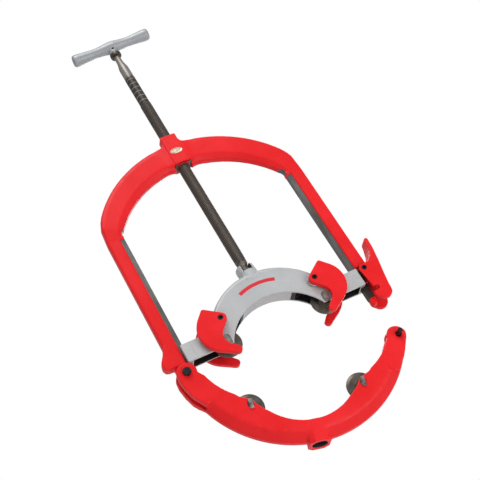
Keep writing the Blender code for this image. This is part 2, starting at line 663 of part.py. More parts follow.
def hinge_nut():
    hexagon = arc(HINGE[0], HINGE[1], BOLT_HEAD_R, 0, 300, 5)
    nut = prism("hinge_nut", hexagon, JAW_HALF + GAP, JAW_HALF + 8 * MM)
    cut(nut, rod("bore", BOLT_R + GAP, HINGE, 0, 40 * MM))
    return place(nut, "black_oxide")


# ---- Latch ----

def latch_lever():
    """Two hook plates over the leg's flat and the jaw's tabs, joined above into a tapering thumb lever."""
    px, pz = LATCH_PIVOT
    plates = arc(px - 0.8 * MM, pz - 1.8 * MM, 9.4 * MM, 190, 95, 6)
    plates += [(199.5 * MM, -235 * MM), (205 * MM, -230.5 * MM), (212 * MM, -223 * MM),
               (216.5 * MM, -212 * MM),
               (219.5 * MM, -200 * MM)]
    plates += arc(224.6 * MM, -191 * MM, 3.7 * MM, 170, 0, 8)
    plates += [(224.2 * MM, -214.5 * MM), (219 * MM, -234 * MM), (215.7 * MM, -249.6 * MM),
               (211.8 * MM, -269.5 * MM), (208 * MM, -292 * MM)]
    plates += arc(193 * MM, -299.5 * MM, 14.5 * MM, -5, -125, 7)
    notch = [(176 * MM, -302 * MM), (175 * MM, -296 * MM), (178 * MM, -293.6 * MM)]
    notch += arc(CATCH[0], CATCH[1], 5.1 * MM, -90, 90, 8)
    notch += [(180.5 * MM, -283.2 * MM), (178 * MM, -266 * MM)]
    latch = prism("latch_lever", plates + notch, -LATCH_HALF, LATCH_HALF)
    for face in (-1, 1):
        slope = [(face * 40 * MM, -240 * MM), (face * LATCH_HALF, -240 * MM),
                 (face * LATCH_THUMB_HALF, -188 * MM), (face * LATCH_THUMB_HALF, -150 * MM),
                 (face * 40 * MM, -150 * MM)]
        cut(latch, loft("slope", [[(x, y, z) for y, z in slope] for x in (140 * MM, 260 * MM)]))
    room = rectangle(140 * MM, -330 * MM, 230 * MM, -262 * MM)
    cut(latch,
        prism("tab_room", room, -TAB_HALF - 0.9 * MM, TAB_HALF + 0.9 * MM))
    # room for the leg and its flat, with the latch at rest and with the latch pressed
    leg_y = LEG_HALF + 0.5 * MM
    flat_y = RAIL_HALF + GAP
    for turn in (0, LATCH_RELEASE):
        leg = rectangle(140 * MM, -236.5 * MM, 201.5 * MM, -190 * MM)
        flat = rectangle(140 * MM, -270 * MM, 202.4 * MM, -225 * MM)
        cut(latch,
            prism("leg_room", turned_points(leg, LATCH_PIVOT, turn), -leg_y, leg_y),
            prism("flat_room", turned_points(flat, LATCH_PIVOT, turn), -flat_y, flat_y))
    cut(latch, rod("pivot_hole", 4.8 * MM, LATCH_PIVOT, -40 * MM, 40 * MM))
    return place(latch, "red_paint", LATCH_PIVOT)


def latch_pivot_pin():
    pin = rod("latch_pivot_pin", 4.5 * MM, LATCH_PIVOT, -LATCH_HALF - 0.4 * MM, LATCH_HALF + 0.4 * MM)
    cut(pin, rod("hollow", 2.2 * MM, LATCH_PIVOT, -50 * MM, 50 * MM, 16))
    return place(pin, "black_oxide")


# ---- Assembly ----

def side_name(side):
    return "left" if side < 0 else "right"


def face_name(face):
    return "front" if face < 0 else "back"


def build_jaw():
    """Everything on the jaw, drawn closed on an axis that is then turned open."""
    axis = bpy.data.objects.new("jaw_axis", None)
    bpy.context.scene.collection.objects.link(axis)
    axis.location = (HINGE[0], 0, HINGE[1])
    axis.parent = datum
    lower_jaw(axis)
    catch_pin(axis)
    for side in (-1, 1):
        jaw_wheel_pin(side, "jaw_wheel_pin_" + side_name(side), axis)
        wheel("jaw_wheel_" + side_name(side), side * WHEEL_X, WHEEL_LOW_Z, axis)
    axis.rotation_euler = (0, REST_OPEN, 0)


def build():
    global datum
    clear_scene()
    datum = bpy.data.objects.new("datum", None)
    bpy.context.scene.collection.objects.link(datum)
    main_frame()
    feed_nut()
    badge()
    feed_screw()
    handle_collar()
    t_handle()
    handle_pin()
    carriage()
    for side in (-1, 1):
        retaining_pin(side, "screw_retaining_pin_" + side_name(side))
        wheel("carriage_wheel_" + side_name(side), side * WHEEL_X, WHEEL_UP_Z)
        carriage_wheel_pin(side, "carriage_wheel_pin_" + side_name(side))
        guide_pin(side, "guide_pin_" + side_name(side))
        for face in (-1, 1):
            ends = side_name(side) + "_" + face_name(face)
            guide(side, face, "guide_" + ends)
            guide_washer(side, face, "guide_washer_" + ends)
    hinge_bolt()
    hinge_nut()
    latch_lever()
    latch_pivot_pin()
    build_jaw()
    datum.location = (0, -BOSS_HALF_Y, -(BOSS_LOW_Z + BOSS_TOP_Z) / 2)


build()
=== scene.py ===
"""Finished look of a hinged four-wheel pipe cutter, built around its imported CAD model."""

from math import cos, pi, radians, sin

import bmesh
import bpy
import numpy as np
from mathutils import Matrix, Vector

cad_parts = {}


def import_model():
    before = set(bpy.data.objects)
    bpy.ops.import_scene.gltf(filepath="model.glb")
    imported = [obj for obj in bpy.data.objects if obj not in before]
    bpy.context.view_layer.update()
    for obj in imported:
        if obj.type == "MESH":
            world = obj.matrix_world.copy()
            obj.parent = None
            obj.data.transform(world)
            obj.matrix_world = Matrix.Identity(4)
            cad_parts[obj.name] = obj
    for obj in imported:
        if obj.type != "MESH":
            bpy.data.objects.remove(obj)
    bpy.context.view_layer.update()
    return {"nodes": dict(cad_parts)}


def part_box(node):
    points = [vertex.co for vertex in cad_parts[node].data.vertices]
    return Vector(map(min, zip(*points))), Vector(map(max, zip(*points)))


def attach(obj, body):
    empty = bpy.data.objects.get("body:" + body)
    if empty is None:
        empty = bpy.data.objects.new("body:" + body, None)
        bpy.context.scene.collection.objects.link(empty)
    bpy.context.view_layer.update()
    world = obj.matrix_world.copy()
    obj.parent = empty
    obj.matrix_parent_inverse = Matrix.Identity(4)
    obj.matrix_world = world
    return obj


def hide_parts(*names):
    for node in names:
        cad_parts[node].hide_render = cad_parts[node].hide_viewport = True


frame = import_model()

MM = 0.001

# The tool's own axes: the screw axis is x = y = 0, and the tops of the rails are z = 0.
SCREW_LOW_Z = -171 * MM
screw_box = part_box("feed_screw")
TOOL = Vector(((screw_box[0].x + screw_box[1].x) / 2, (screw_box[0].y + screw_box[1].y) / 2,
               screw_box[0].z - SCREW_LOW_Z))

# Frame
STEP_X = 176.2 * MM
RAIL_X = 167.4 * MM
RAIL_HALF = 6.8 * MM
RUNOUT_R = 10 * MM
RUNOUT_Z = 8 * MM
BOSS_HALF_X = 15.5 * MM
BADGE_Z = 132.5 * MM
CROWN_HALF = 11.5 * MM
FLARE_REACH = 19 * MM
FLARE_RISE = 3.6 * MM
FLARE_DROP = 4.5 * MM

# Screw and handle
SCREW_R = 11.1 * MM
THREAD_DEPTH = 0.9 * MM
PITCH = 3.175 * MM
THREAD_LOW_Z = -137 * MM
THREAD_TOP_Z = 273 * MM
SHANK_TOP_Z = 344 * MM
HANDLE_Z = 438 * MM
HANDLE_HALF = 83 * MM
HANDLE_TURN = radians(-4)
PIN_Z = 427 * MM

# Carriage
CARRIAGE_HALF = 17 * MM
ARM_TOP_Z = -237.7 * MM
ARCH_Z = -288.6 * MM
ARCH_R = 126 * MM
ARCH_ROUND = 9 * MM
SLOT_HALF = 12.5 * MM
SLOT_NEAR_X = 47.3 * MM
SLOT_FAR_X = 163.7 * MM
PAD_X = 157 * MM            # a thin raised pad starts here on the front of each arm
CUP_R = 12.9 * MM
CUP_LOW_Z = -185 * MM
NECK_BORE_R = 7.9 * MM
RETAINER = (7.9 * MM, -157.5 * MM)
HUB_R = 17.8 * MM
GUIDE_PIVOT = (92.2 * MM, -226.8 * MM)
GUIDE_FACE = 31 * MM
STRIPE_R = 100 * MM
STRIPE_HALF = 3.4 * MM
STRIPE_HALF_TURN = 0.36     # radians to each end from the stripe's middle
WHEEL_X = 95.7 * MM
WHEEL_UP_Z = -264.3 * MM
WHEEL_LOW_Z = -363.9 * MM
WHEEL_R = 25.4 * MM

# Lower jaw, described closed and turned open about the hinge for the rest pose
HINGE = (-185 * MM, -288.5 * MM)
CATCH = (185 * MM, -288.5 * MM)
REST_OPEN = radians(14.2)
JAW_HALF = 20 * MM
JAW_CENTRE_Z = -239.5 * MM
JAW_RIDGE_R = 189 * MM
SOCKET_R = 13 * MM
SOCKET_TOP_Z = -413 * MM    # on the closed jaw, just below its inner face
BOLT_R = 4.8 * MM
BOLT_HEAD_R = 7.8 * MM

# Latch
LATCH_PIVOT = (185.5 * MM, -244.4 * MM)
LATCH_HALF = 23 * MM

# Split pins of the guides and the latch
SPLIT_PIN_R = 4.5 * MM
SPLIT_PIN_BORE_R = 2.2 * MM

FLOOR_Z = -0.84

RED = (0.77, 0.008, 0.010)
RED_LIGHT = (0.84, 0.014, 0.018)
RED_DEEP = (0.40, 0.003, 0.008)
GREY = (0.535, 0.545, 0.54)
GREY_DARK = (0.24, 0.25, 0.255)
HANDLE_GREY = (0.41, 0.42, 0.43)
STEEL = (0.11, 0.105, 0.095)
STEEL_LIGHT = (0.25, 0.25, 0.24)
PAINTED_SHADE_STEEL = (0.028, 0.021, 0.017)
OIL_LIGHT = (0.065, 0.053, 0.043)
NICKEL = (0.42, 0.41, 0.39)
BLACK = (0.010, 0.010, 0.012)
SOOT = (0.035, 0.035, 0.040)


# ---- Meshes ----

def object_from(bm, name, crease=35):
    """Object in the tool's axes, smooth except across edges sharper than crease degrees."""
    bmesh.ops.recalc_face_normals(bm, faces=bm.faces)
    limit = radians(crease)
    for edge in bm.edges:
        edge.smooth = edge.calc_face_angle(0) < limit
    for face in bm.faces:
        face.smooth = True
    mesh = bpy.data.meshes.new(name)
    bm.to_mesh(mesh)
    bm.free()
    mesh.transform(Matrix.Translation(TOOL))
    obj = bpy.data.objects.new(name, mesh)
    bpy.context.scene.collection.objects.link(obj)
    return obj


def loft(bm, rings, closed=False):
    """Skin through equal rings of points; open ends get caps, a closed loft joins its ends."""
    rows = [[bm.verts.new(point) for point in ring] for ring in rings]
    count = len(rings[0])
    following = rows[1:] + (rows[:1] if closed else [])
    for low, high in zip(rows, following):
        for i in range(count):
            j = (i + 1) % count
            bm.faces.new((low[i], low[j], high[j], high[i]))
    if not closed:
        bm.faces.new(rows[0])
        bm.faces.new(rows[-1])
    return bm


def spun(bm, profile, centre=(0, 0, 0), axis="Z", segments=64):
    """Adds a solid of revolution from (radius, height) pairs; flat ends are capped."""
    rings = []
    for radius, height in profile:
        ring = []
        for i in range(segments):
            turn = 2 * pi * i / segments
            a, b = radius * cos(turn), radius * sin(turn)
            point = {"Z": (a, b, height), "Y": (a, height, b), "X": (height, a, b)}[axis]
            ring.append(Vector(point) + Vector(centre))
        rings.append(ring)
    return loft(bm, rings)


def ring_body(bm, profile, centre, segments=64, gap=0.0):
    """Adds a hollow ring about an axis along Y; gap radians are left open, as in a split pin."""
    steps = segments if gap == 0 else segments + 1
    rings = []
    for i in range(steps):
        turn = gap / 2 + (2 * pi - gap) * i / segments
        rings.append([(centre[0] + r * cos(turn), y, centre[1] + r * sin(turn)) for r, y in profile])
    return loft(bm, rings, closed=gap == 0)


def prism(bm, outline, y_low, y_high):
    """Adds the outline of (x, z) points, carried from y_low to y_high."""
    return loft(bm, [[(x, y, z) for x, z in outline] for y in (y_low, y_high)])


def rectangle(x_low, z_low, x_high, z_high):
    return [(x_low, z_low), (x_high, z_low), (x_high, z_high), (x_low, z_high)]


def arc(centre_x, centre_z, radius, start, end, steps):
    angles = [radians(start + (end - start) * i / steps) for i in range(steps + 1)]
    return [(centre_x + radius * cos(a), centre_z + radius * sin(a)) for a in angles]


def applied(obj, kind, **settings):
    """Adds one modifier and applies it to the object's mesh."""
    modifier = obj.modifiers.new(kind.lower(), kind)
    for key, value in settings.items():
        setattr(modifier, key, value)
    graph = bpy.context.evaluated_depsgraph_get()
    graph.update()
    mesh = bpy.data.meshes.new_from_object(obj.evaluated_get(graph))
    obj.modifiers.clear()
    obj.data = mesh
    return obj


def bevelled(obj, width, segments=3):
    return applied(obj, "BEVEL", width=width, segments=segments, limit_method="ANGLE",
                   angle_limit=radians(30))


def cut(obj, *tools):
    for tool in tools:
        applied(obj, "BOOLEAN", operation="DIFFERENCE", solver="EXACT", object=tool)
        bpy.data.objects.remove(tool, do_unlink=True)
    return obj


def joined(obj, *others):
    for other in others:
        applied(obj, "BOOLEAN", operation="UNION", solver="EXACT", object=other)
        bpy.data.objects.remove(other, do_unlink=True)
    return obj


def node_copy(node, name):
    """The CAD node's mesh as a new object, with the importer's split corners welded."""
    bm = bmesh.new()
    bm.from_mesh(frame["nodes"][node].data)
    bmesh.ops.remove_doubles(bm, verts=bm.verts, dist=0.01 * MM)
    bmesh.ops.translate(bm, verts=bm.verts, vec=-TOOL)
    return object_from(bm, name)


def points_of(obj):
    flat = np.zeros(len(obj.data.vertices) * 3)
    obj.data.vertices.foreach_get("co", flat)
    return flat.reshape(-1, 3) - np.array(TOOL)


def set_points(obj, points):
    obj.data.vertices.foreach_set("co", (points + np.array(TOOL)).ravel())
    obj.data.update()


def cast(obj, voxel, smooth, faces, shape=None):
    """Rounds a solid as a casting: even mesh, optional reshaping, softened edges, fewer faces."""
    applied(obj, "REMESH", mode="VOXEL", voxel_size=voxel)
    if shape:
        set_points(obj, shape(points_of(obj)))
        applied(obj, "REMESH", mode="VOXEL", voxel_size=voxel)
    applied(obj, "SMOOTH", factor=0.5, iterations=smooth)
    ratio = faces / max(1, 2 * len(obj.data.polygons))
    if ratio < 1:
        applied(obj, "DECIMATE", ratio=ratio)
    obj.data.polygons.foreach_set("use_smooth", [True] * len(obj.data.polygons))
    return obj


def smoothed(obj, weight, iterations):
    """Smooths the points that have a weight, each by its own amount."""
    group = obj.vertex_groups.new(name="soft")
    for index in np.flatnonzero(weight > 0):
        group.add([int(index)], float(weight[index]), "REPLACE")
    return applied(obj, "SMOOTH", factor=0.5, iterations=iterations, vertex_group="soft")


def finish(obj, body, material, *nodes, slot=None):
    """Gives the piece its material and its body, and hides the CAD nodes it stands for; its slot argument is
    not used.
    """
    obj.data.materials.clear()
    obj.data.materials.append(material)
    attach(obj, body)
    if nodes:
        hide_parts(*nodes)
    return obj


# ---- Materials ----

class Shader:
    """Short way to lay out the nodes of one procedural material."""

    def __init__(self, name):
        self.material = bpy.data.materials.new(name)
        self.material.use_nodes = True
        self.tree = self.material.node_tree
        self.surface = self.tree.nodes["Principled BSDF"]
        self.place = self.add("TexCoord").outputs["Object"]
        self.height = None

    def add(self, kind, inputs=None, **properties):
        made = self.tree.nodes.new("ShaderNode" + kind)
        for key, value in properties.items():
            setattr(made, key, value)
        for key, value in (inputs or {}).items():
            self.feed(made.inputs[key], value)
        return made

    def feed(self, socket, value):
        if isinstance(value, bpy.types.NodeSocket):
            self.tree.links.new(value, socket)
        elif socket.type == "RGBA" and len(value) == 3:
            socket.default_value = (*value, 1)
        else:
            socket.default_value = value

    def noise(self, scale, detail=3.0, stretch=None, rough=0.5):
        place = self.place
        if stretch:
            place = self.add("Mapping", {"Vector": place, "Scale": stretch}).outputs[0]
        inputs = {"Vector": place, "Scale": scale, "Detail": detail, "Roughness": rough}
        made = self.add("TexNoise", inputs)
        return made.outputs["Fac"]

    def math(self, operation, a, b=0.0):
        return self.add("Math", {0: a, 1: b}, operation=operation).outputs[0]

    def span(self, value, low, high, to_low=0.0, to_high=1.0):
        made = self.add("MapRange", {"Value": value, "From Min": low, "From Max": high,
                                     "To Min": to_low, "To Max": to_high})
        return made.outputs["Result"]

    def mix(self, factor, a, b):
        made = self.add("Mix", data_type="RGBA")
        self.feed(made.inputs[0], factor)
        self.feed(made.inputs[6], a)
        self.feed(made.inputs[7], b)
        return made.outputs[2]

    def bump(self, height, strength, distance):
        inputs = {"Height": height, "Strength": strength, "Distance": distance}
        if self.height:
            inputs["Normal"] = self.height
        self.height = self.add("Bump", inputs).outputs["Normal"]

    def edge(self, low, high):
        """Outer edges of a finely meshed piece where low < high, or its hollows where low > high."""
        return self.span(self.add("NewGeometry").outputs["Pointiness"], low, high)

    def done(self, colour, roughness, metallic=0.0, **more):
        inputs = {"Base Color": colour, "Roughness": roughness, "Metallic": metallic, **more}
        if self.height:
            inputs["Normal"] = self.height
        for key, value in inputs.items():
            self.feed(self.surface.inputs[key], value)
        return self.material


def axis_parts(shader, centre):
    """x, y and z from a centre given in the tool's axes."""
    shift = -(Vector(centre) + TOOL)
    moved = shader.add("VectorMath", {0: shader.place, 1: shift}, operation="ADD").outputs[0]
    split = shader.add("SeparateXYZ", {0: moved})
    return split.outputs[0], split.outputs[1], split.outputs[2]


def red_enamel(name="red_enamel", hollow_mask=None, hollow_colour=None):
    s = Shader(name)
    broad = s.span(s.noise(14, 2), 0.35, 0.65)
    colour = s.mix(broad, RED, RED_LIGHT)
    # Deep red in the hollows, found by pointiness: painted shade.
    painted_hollow_shade = s.edge(0.49, 0.42)
    colour = s.mix(s.math("MULTIPLY", painted_hollow_shade, 0.65), colour, RED_DEEP)
    # Lighter, pinker red in patches along the outer edges: rubbed paint and a painted edge highlight.
    worn = s.math("MULTIPLY", s.edge(0.53, 0.60), s.span(s.noise(160, 4), 0.35, 0.62))
    colour = s.mix(s.math("MULTIPLY", worn, 0.2), colour, (0.85, 0.05, 0.05))
    spots = s.span(s.noise(75, 5, rough=0.7), 0.71, 0.76)
    colour = s.mix(s.math("MULTIPLY", spots, 0.6), colour, (0.16, 0.012, 0.015))
    # Optional mask and colour: bare steel at the rails' runouts, painted shade inside the jaw's socket and
    # inside the latch.
    if hollow_mask:
        colour = s.mix(hollow_mask(s), colour, hollow_colour)
    s.bump(s.noise(260, 4, rough=0.6), 0.12, 0.4 * MM)
    s.bump(s.noise(1100, 2), 0.06, 0.12 * MM)
    roughness = s.span(s.noise(120, 3), 0.3, 0.7, 0.34, 0.50)
    return s.done(colour, roughness, 0.0, **{"Specular IOR Level": 0.22})


def bare_runout(s):
    """1 on the round ends that the rails' milling leaves in the crown."""
    x, _, z = axis_parts(s, (0, 0, RUNOUT_Z))
    across = s.math("SUBTRACT", s.math("ABSOLUTE", x), RAIL_X - RUNOUT_R)
    squared = s.math("ADD", s.math("MULTIPLY", across, across), s.math("MULTIPLY", z, z))
    return s.math("LESS_THAN", s.math("SQRT", squared), RUNOUT_R + 0.9 * MM)


def jaw_socket(s):
    """Mask for bare metal with painted shade: 1 inside the socket for the carrying handle, whose axis is
    vertical on the closed jaw.
    """
    x, y, z = axis_parts(s, (HINGE[0], 0, HINGE[1]))
    cosine, sine = cos(REST_OPEN), sin(REST_OPEN)
    across = s.math("SUBTRACT", s.math("MULTIPLY", x, cosine), s.math("MULTIPLY", z, sine))
    across = s.math("ADD", across, HINGE[0])
    drop = s.math("ADD", s.math("MULTIPLY", x, sine), s.math("MULTIPLY", z, cosine))
    squared = s.math("ADD", s.math("MULTIPLY", across, across), s.math("MULTIPLY", y, y))
    inside = s.math("LESS_THAN", s.math("SQRT", squared), SOCKET_R + 0.2 * MM)
    return s.math("MULTIPLY", inside, s.math("LESS_THAN", drop, SOCKET_TOP_Z - HINGE[1]))


def latch_inside(s):
    """Mask for painted shade, rising towards the inside of the latch, between its plates and short of its
    outer web.
    """
    shade_low_z, shade_full_z, shade_top_z = -280 * MM, -262 * MM, -236 * MM
    _, y, z = axis_parts(s, (0, 0, 0))
    inside = s.math("LESS_THAN", s.math("ABSOLUTE", y), LATCH_HALF - 1.5 * MM)
    facing = s.add("SeparateXYZ", {0: s.add("NewGeometry").outputs["Normal"]}).outputs["X"]
    inside = s.math("MULTIPLY", inside, s.math("LESS_THAN", facing, 0.3))
    high = s.span(z, shade_low_z, shade_full_z)
    return s.math("MULTIPLY", s.math("MULTIPLY", inside, high), s.math("LESS_THAN", z, shade_top_z))


def between(s, value, low, high):
    return s.math("MULTIPLY", s.math("GREATER_THAN", value, low), s.math("LESS_THAN", value, high))


def painted_slot_shade(s):
    """1 inside the wheel slots and inside the hub's cup, where the casting gets near black painted shade."""
    x, y, z = axis_parts(s, (0, 0, 0))
    width = s.math("ABSOLUTE", x)
    deep = s.math("LESS_THAN", s.math("ABSOLUTE", y), SLOT_HALF + 0.35 * MM)
    along = between(s, width, SLOT_NEAR_X, SLOT_FAR_X)
    under_arm = s.math("LESS_THAN", z, ARM_TOP_Z - 1.5 * MM)
    arch_x, arch_slot_z = 84 * MM, -225 * MM
    under_arch = s.math("MULTIPLY", s.math("LESS_THAN", width, arch_x), s.math("LESS_THAN", z, arch_slot_z))
    slot = s.math("MULTIPLY", s.math("MULTIPLY", deep, along), s.math("MAXIMUM", under_arm, under_arch))
    squared = s.math("ADD", s.math("MULTIPLY", x, x), s.math("MULTIPLY", y, y))
    cup = s.math("MULTIPLY", s.math("LESS_THAN", squared, (CUP_R + 0.8 * MM) ** 2),
                 s.math("GREATER_THAN", z, CUP_LOW_Z))
    return s.math("MAXIMUM", slot, cup)


def grey_casting(name, light, dark, stripe_and_slot_shade=False, metallic=0.25, speckle=0.22):
    s = Shader(name)
    colour = s.mix(s.span(s.noise(22, 4), 0.3, 0.7), light, tuple(c * 0.88 for c in light))
    grain = s.span(s.noise(700, 3), 0.35, 0.75)
    colour = s.mix(s.math("MULTIPLY", grain, speckle), colour, dark)
    # Darker in the hollows, found by pointiness: painted shade.
    painted_hollow_shade = s.edge(0.495, 0.43)
    colour = s.mix(s.math("MULTIPLY", painted_hollow_shade, 0.75), colour, dark)
    # Light grey along the outer edges: painted highlight.
    bright = s.edge(0.53, 0.62)
    colour = s.mix(s.math("MULTIPLY", bright, 0.35), colour, (0.72, 0.75, 0.77))
    if stripe_and_slot_shade:
        colour = arch_stripe(s, colour)
        # Near black inside the wheel slots and the hub's cup: painted shade.
        colour = s.mix(painted_slot_shade(s), colour, (0.012, 0.010, 0.010))
    s.bump(s.noise(420, 4, rough=0.65), 0.8 * speckle, 0.3 * MM)
    roughness = s.span(s.noise(90, 3), 0.3, 0.7, 0.42, 0.58)
    return s.done(colour, roughness, metallic)


def arch_stripe(s, colour):
    """Plain red stripe on the front face of the arch."""
    x, y, z = axis_parts(s, (0, 0, ARCH_Z))
    squared = s.math("ADD", s.math("MULTIPLY", x, x), s.math("MULTIPLY", z, z))
    radius = s.math("SQRT", squared)
    band = s.math("LESS_THAN", s.math("ABSOLUTE", s.math("SUBTRACT", radius, STRIPE_R)), STRIPE_HALF)
    left_shift = 0.03
    turn = s.math("ADD", s.math("ARCTAN2", x, z), left_shift)
    along = s.math("LESS_THAN", s.math("ABSOLUTE", turn), STRIPE_HALF_TURN)
    front = s.math("LESS_THAN", y, -10 * MM)
    mask = s.math("MULTIPLY", s.math("MULTIPLY", band, along), front)
    return s.mix(mask, colour, (0.70, 0.02, 0.035))


def milled_steel():
    """Rails and tongues: milled lengthwise, oiled and rubbed bright in patches, and darkened low down with
    painted shade.
    """
    s = Shader("milled_steel")
    lines = s.noise(900, 2, (1, 1, 0.03))
    patches = s.span(s.noise(26, 5, (1, 1, 0.35), 0.6), 0.35, 0.62)
    colour = s.mix(patches, STEEL, STEEL_LIGHT)
    colour = s.mix(s.span(lines, 0.35, 0.75, 0, 0.5), colour, OIL_LIGHT)
    # Darker from z -246 mm down, where the tongues lie in shade: painted shade.
    dark_from_z, dark_full_z = -246 * MM, -262 * MM
    z = axis_parts(s, (0, 0, 0))[2]
    colour = s.mix(s.span(z, dark_from_z, dark_full_z, 0, 0.8), colour, PAINTED_SHADE_STEEL)
    s.bump(lines, 0.25, 0.08 * MM)
    return s.done(colour, s.span(lines, 0.3, 0.7, 0.30, 0.48), 0.85)


def thread_steel():
    """Darker in the thread's root, rubbed crests and low end, pale neck and bright marking grooves."""
    s = Shader("thread_steel")
    x, y, z = axis_parts(s, (0, 0, 0))
    radius = s.math("SQRT", s.math("ADD", s.math("MULTIPLY", x, x), s.math("MULTIPLY", y, y)))
    crest = s.span(radius, SCREW_R - THREAD_DEPTH, SCREW_R - 0.15 * MM)
    colour = s.mix(crest, (0.030, 0.023, 0.018), (0.135, 0.108, 0.088))
    blotch = s.span(s.noise(45, 5, (1, 1, 0.5)), 0.4, 0.65)
    colour = s.mix(s.math("MULTIPLY", blotch, 0.45), colour, OIL_LIGHT)
    low_end = s.math("MULTIPLY", s.span(z, -126 * MM, -138 * MM), s.span(s.noise(130, 4), 0.35, 0.6))
    colour = s.mix(s.math("MULTIPLY", low_end, 0.7), colour, (0.34, 0.29, 0.24))
    neck = s.span(z, 341 * MM, 350 * MM)
    colour = s.mix(s.math("MULTIPLY", neck, 0.8), colour, (0.30, 0.27, 0.24))
    above = s.math("GREATER_THAN", z, THREAD_TOP_Z + 3 * MM)
    groove = s.math("MULTIPLY", above, s.span(radius, 10.15 * MM, 9.6 * MM))
    groove = s.math("MULTIPLY", groove, s.math("LESS_THAN", z, SHANK_TOP_Z - 1 * MM))
    colour = s.mix(groove, colour, (0.52, 0.50, 0.46))
    s.bump(s.noise(600, 3), 0.2, 0.2 * MM)
    return s.done(colour, s.span(blotch, 0, 1, 0.36, 0.52), 0.5)


def turned_steel(name, dark, light, centre, metallic=0.8, roughness=0.38):
    """Lathe-turned metal with fine rings about an axis along Y, and oily patches."""
    s = Shader(name)
    x, _, z = axis_parts(s, (centre[0], 0, centre[1]))
    radius = s.math("SQRT", s.math("ADD", s.math("MULTIPLY", x, x), s.math("MULTIPLY", z, z)))
    inputs = {"W": radius, "Scale": 2600.0, "Detail": 2.0}
    rings = s.add("TexNoise", inputs, noise_dimensions="1D").outputs["Fac"]
    colour = s.mix(s.span(s.noise(60, 5), 0.35, 0.65), dark, light)
    colour = s.mix(s.span(rings, 0.3, 0.7, 0, 0.35), colour, light)
    s.bump(rings, 0.18, 0.05 * MM)
    return s.done(colour, s.span(rings, 0.3, 0.7, roughness - 0.08, roughness + 0.1), metallic)


def black_oxide():
    s = Shader("black_oxide")
    colour = s.mix(s.span(s.noise(220, 4), 0.4, 0.7), BLACK, SOOT)
    s.bump(s.noise(900, 3), 0.25, 0.1 * MM)
    return s.done(colour, s.span(s.noise(140, 3), 0.3, 0.7, 0.32, 0.5), 0.55)


def nickel(name="nickel", light=NICKEL, dark=STEEL):
    s = Shader(name)
    colour = s.mix(s.span(s.noise(110, 5), 0.38, 0.62), dark, light)
    s.bump(s.noise(500, 3), 0.2, 0.12 * MM)
    return s.done(colour, s.span(s.noise(200, 3), 0.3, 0.7, 0.28, 0.45), 0.75)


def nut_finish():
    """Oily nut flange with the boss's red paint across its middle."""
    s = Shader("nut_finish")
    x = axis_parts(s, (0, 0, 0))[0]
    across = s.math("ADD", s.math("ABSOLUTE", x), s.span(s.noise(180, 3), 0, 1, -1.5 * MM, 1.5 * MM))
    painted = s.span(across, 12 * MM, 11.5 * MM)
    oily = s.mix(s.span(s.noise(150, 4), 0.35, 0.65), (0.045, 0.045, 0.032), (0.11, 0.11, 0.08))
    s.bump(s.noise(400, 3), 0.3, 0.3 * MM)
    return s.done(s.mix(painted, oily, RED_DEEP), 0.42, 0.2)


# ---- Frame ----

def main_frame(red, steel):
    body = node_copy("main_frame", "frame_casting")
    cast(body, 1.0 * MM, 18, 90000)
    set_points(body, boss_flared(points_of(body)))
    soften_flare(body)
    set_points(body, rails_sunk(points_of(body)))
    finish(body, "frame", red, "main_frame")
    step, rail = STEP_X, RAIL_X
    left = [(rail, 0), (step, 0), (step, -280 * MM), (197.8 * MM, -292 * MM), (197.8 * MM, -311 * MM),
            (192 * MM, -317.8 * MM), (173 * MM, -317.8 * MM), (rail, -312 * MM)]
    right = [(rail, 0), (step, 0), (step, -240 * MM), (179.5 * MM, -243 * MM), (179.5 * MM, -296 * MM),
             (rail, -297 * MM)]
    milled_bar("rail_left", [(-x, z) for x, z in left], steel)
    milled_bar("rail_right", right, steel)


def boss_flared(points):
    """Draws the crown's faces up to the sides of the boss in a hollow curve, and its lower edge down."""
    face_low_z, face_top_z = 105 * MM, 165 * MM
    foot_low_z, foot_top_z = 90 * MM, 114 * MM
    x, y, z = points.T
    away = np.clip((np.abs(x) - BOSS_HALF_X) / FLARE_REACH, 0, 1)
    reached = (away > 0.02) & (away < 1)
    beside = reached & (z > face_low_z) & (z < face_top_z)
    face = beside & (np.abs(y) > CROWN_HALF - 2.5 * MM)
    raised = CROWN_HALF + FLARE_RISE * (1 - away) ** 2
    points[:, 1] = np.where(face, np.sign(y) * np.maximum(np.abs(y), raised), y)
    foot = reached & (z > foot_low_z)
    drop = FLARE_DROP * (1 - away) ** 2 * np.clip((foot_top_z - z) / (10 * MM), 0, 1)
    points[:, 2] = np.where(foot, z - drop, z)
    return points


def soften_flare(body):
    """Smooths the casting beside the boss, fading out along the crown and at the boss's flat front."""
    low_z, top_z = 92 * MM, 172 * MM
    x, _, z = points_of(body).T
    rise = np.clip((np.abs(x) - BOSS_HALF_X) / (2.5 * MM), 0, 1)
    fall = np.clip((BOSS_HALF_X + 1.7 * FLARE_REACH - np.abs(x)) / (10 * MM), 0, 1)
    weight = np.where((z > low_z) & (z < top_z), rise * fall, 0)
    smoothed(body, weight, 45)


def rails_sunk(points):
    """Draws the casting in under the milled bars, so that only the bars show."""
    x, y, z = points.T
    rail = (z < -1.5 * MM) & (np.abs(x) < STEP_X - 0.6 * MM) & (np.abs(x) > RAIL_X - 1 * MM)
    sunk = 0.5 * MM
    points[:, 0] = np.where(rail, np.sign(x) * np.maximum(np.abs(x), RAIL_X + sunk), x)
    points[:, 1] = np.where(rail, np.clip(y, sunk - RAIL_HALF, RAIL_HALF - sunk), y)
    return points


def milled_bar(name, outline, steel):
    """Crisp milled rail over the inner edge of a leg, with the flat tongue below it."""
    proud = 0.1 * MM
    bm = bmesh.new()
    prism(bm, outline, -RAIL_HALF - proud, RAIL_HALF + proud)
    bar = object_from(bm, name)
    bevelled(bar, 0.4 * MM, 2)
    finish(bar, "frame", steel, slot="main_frame")


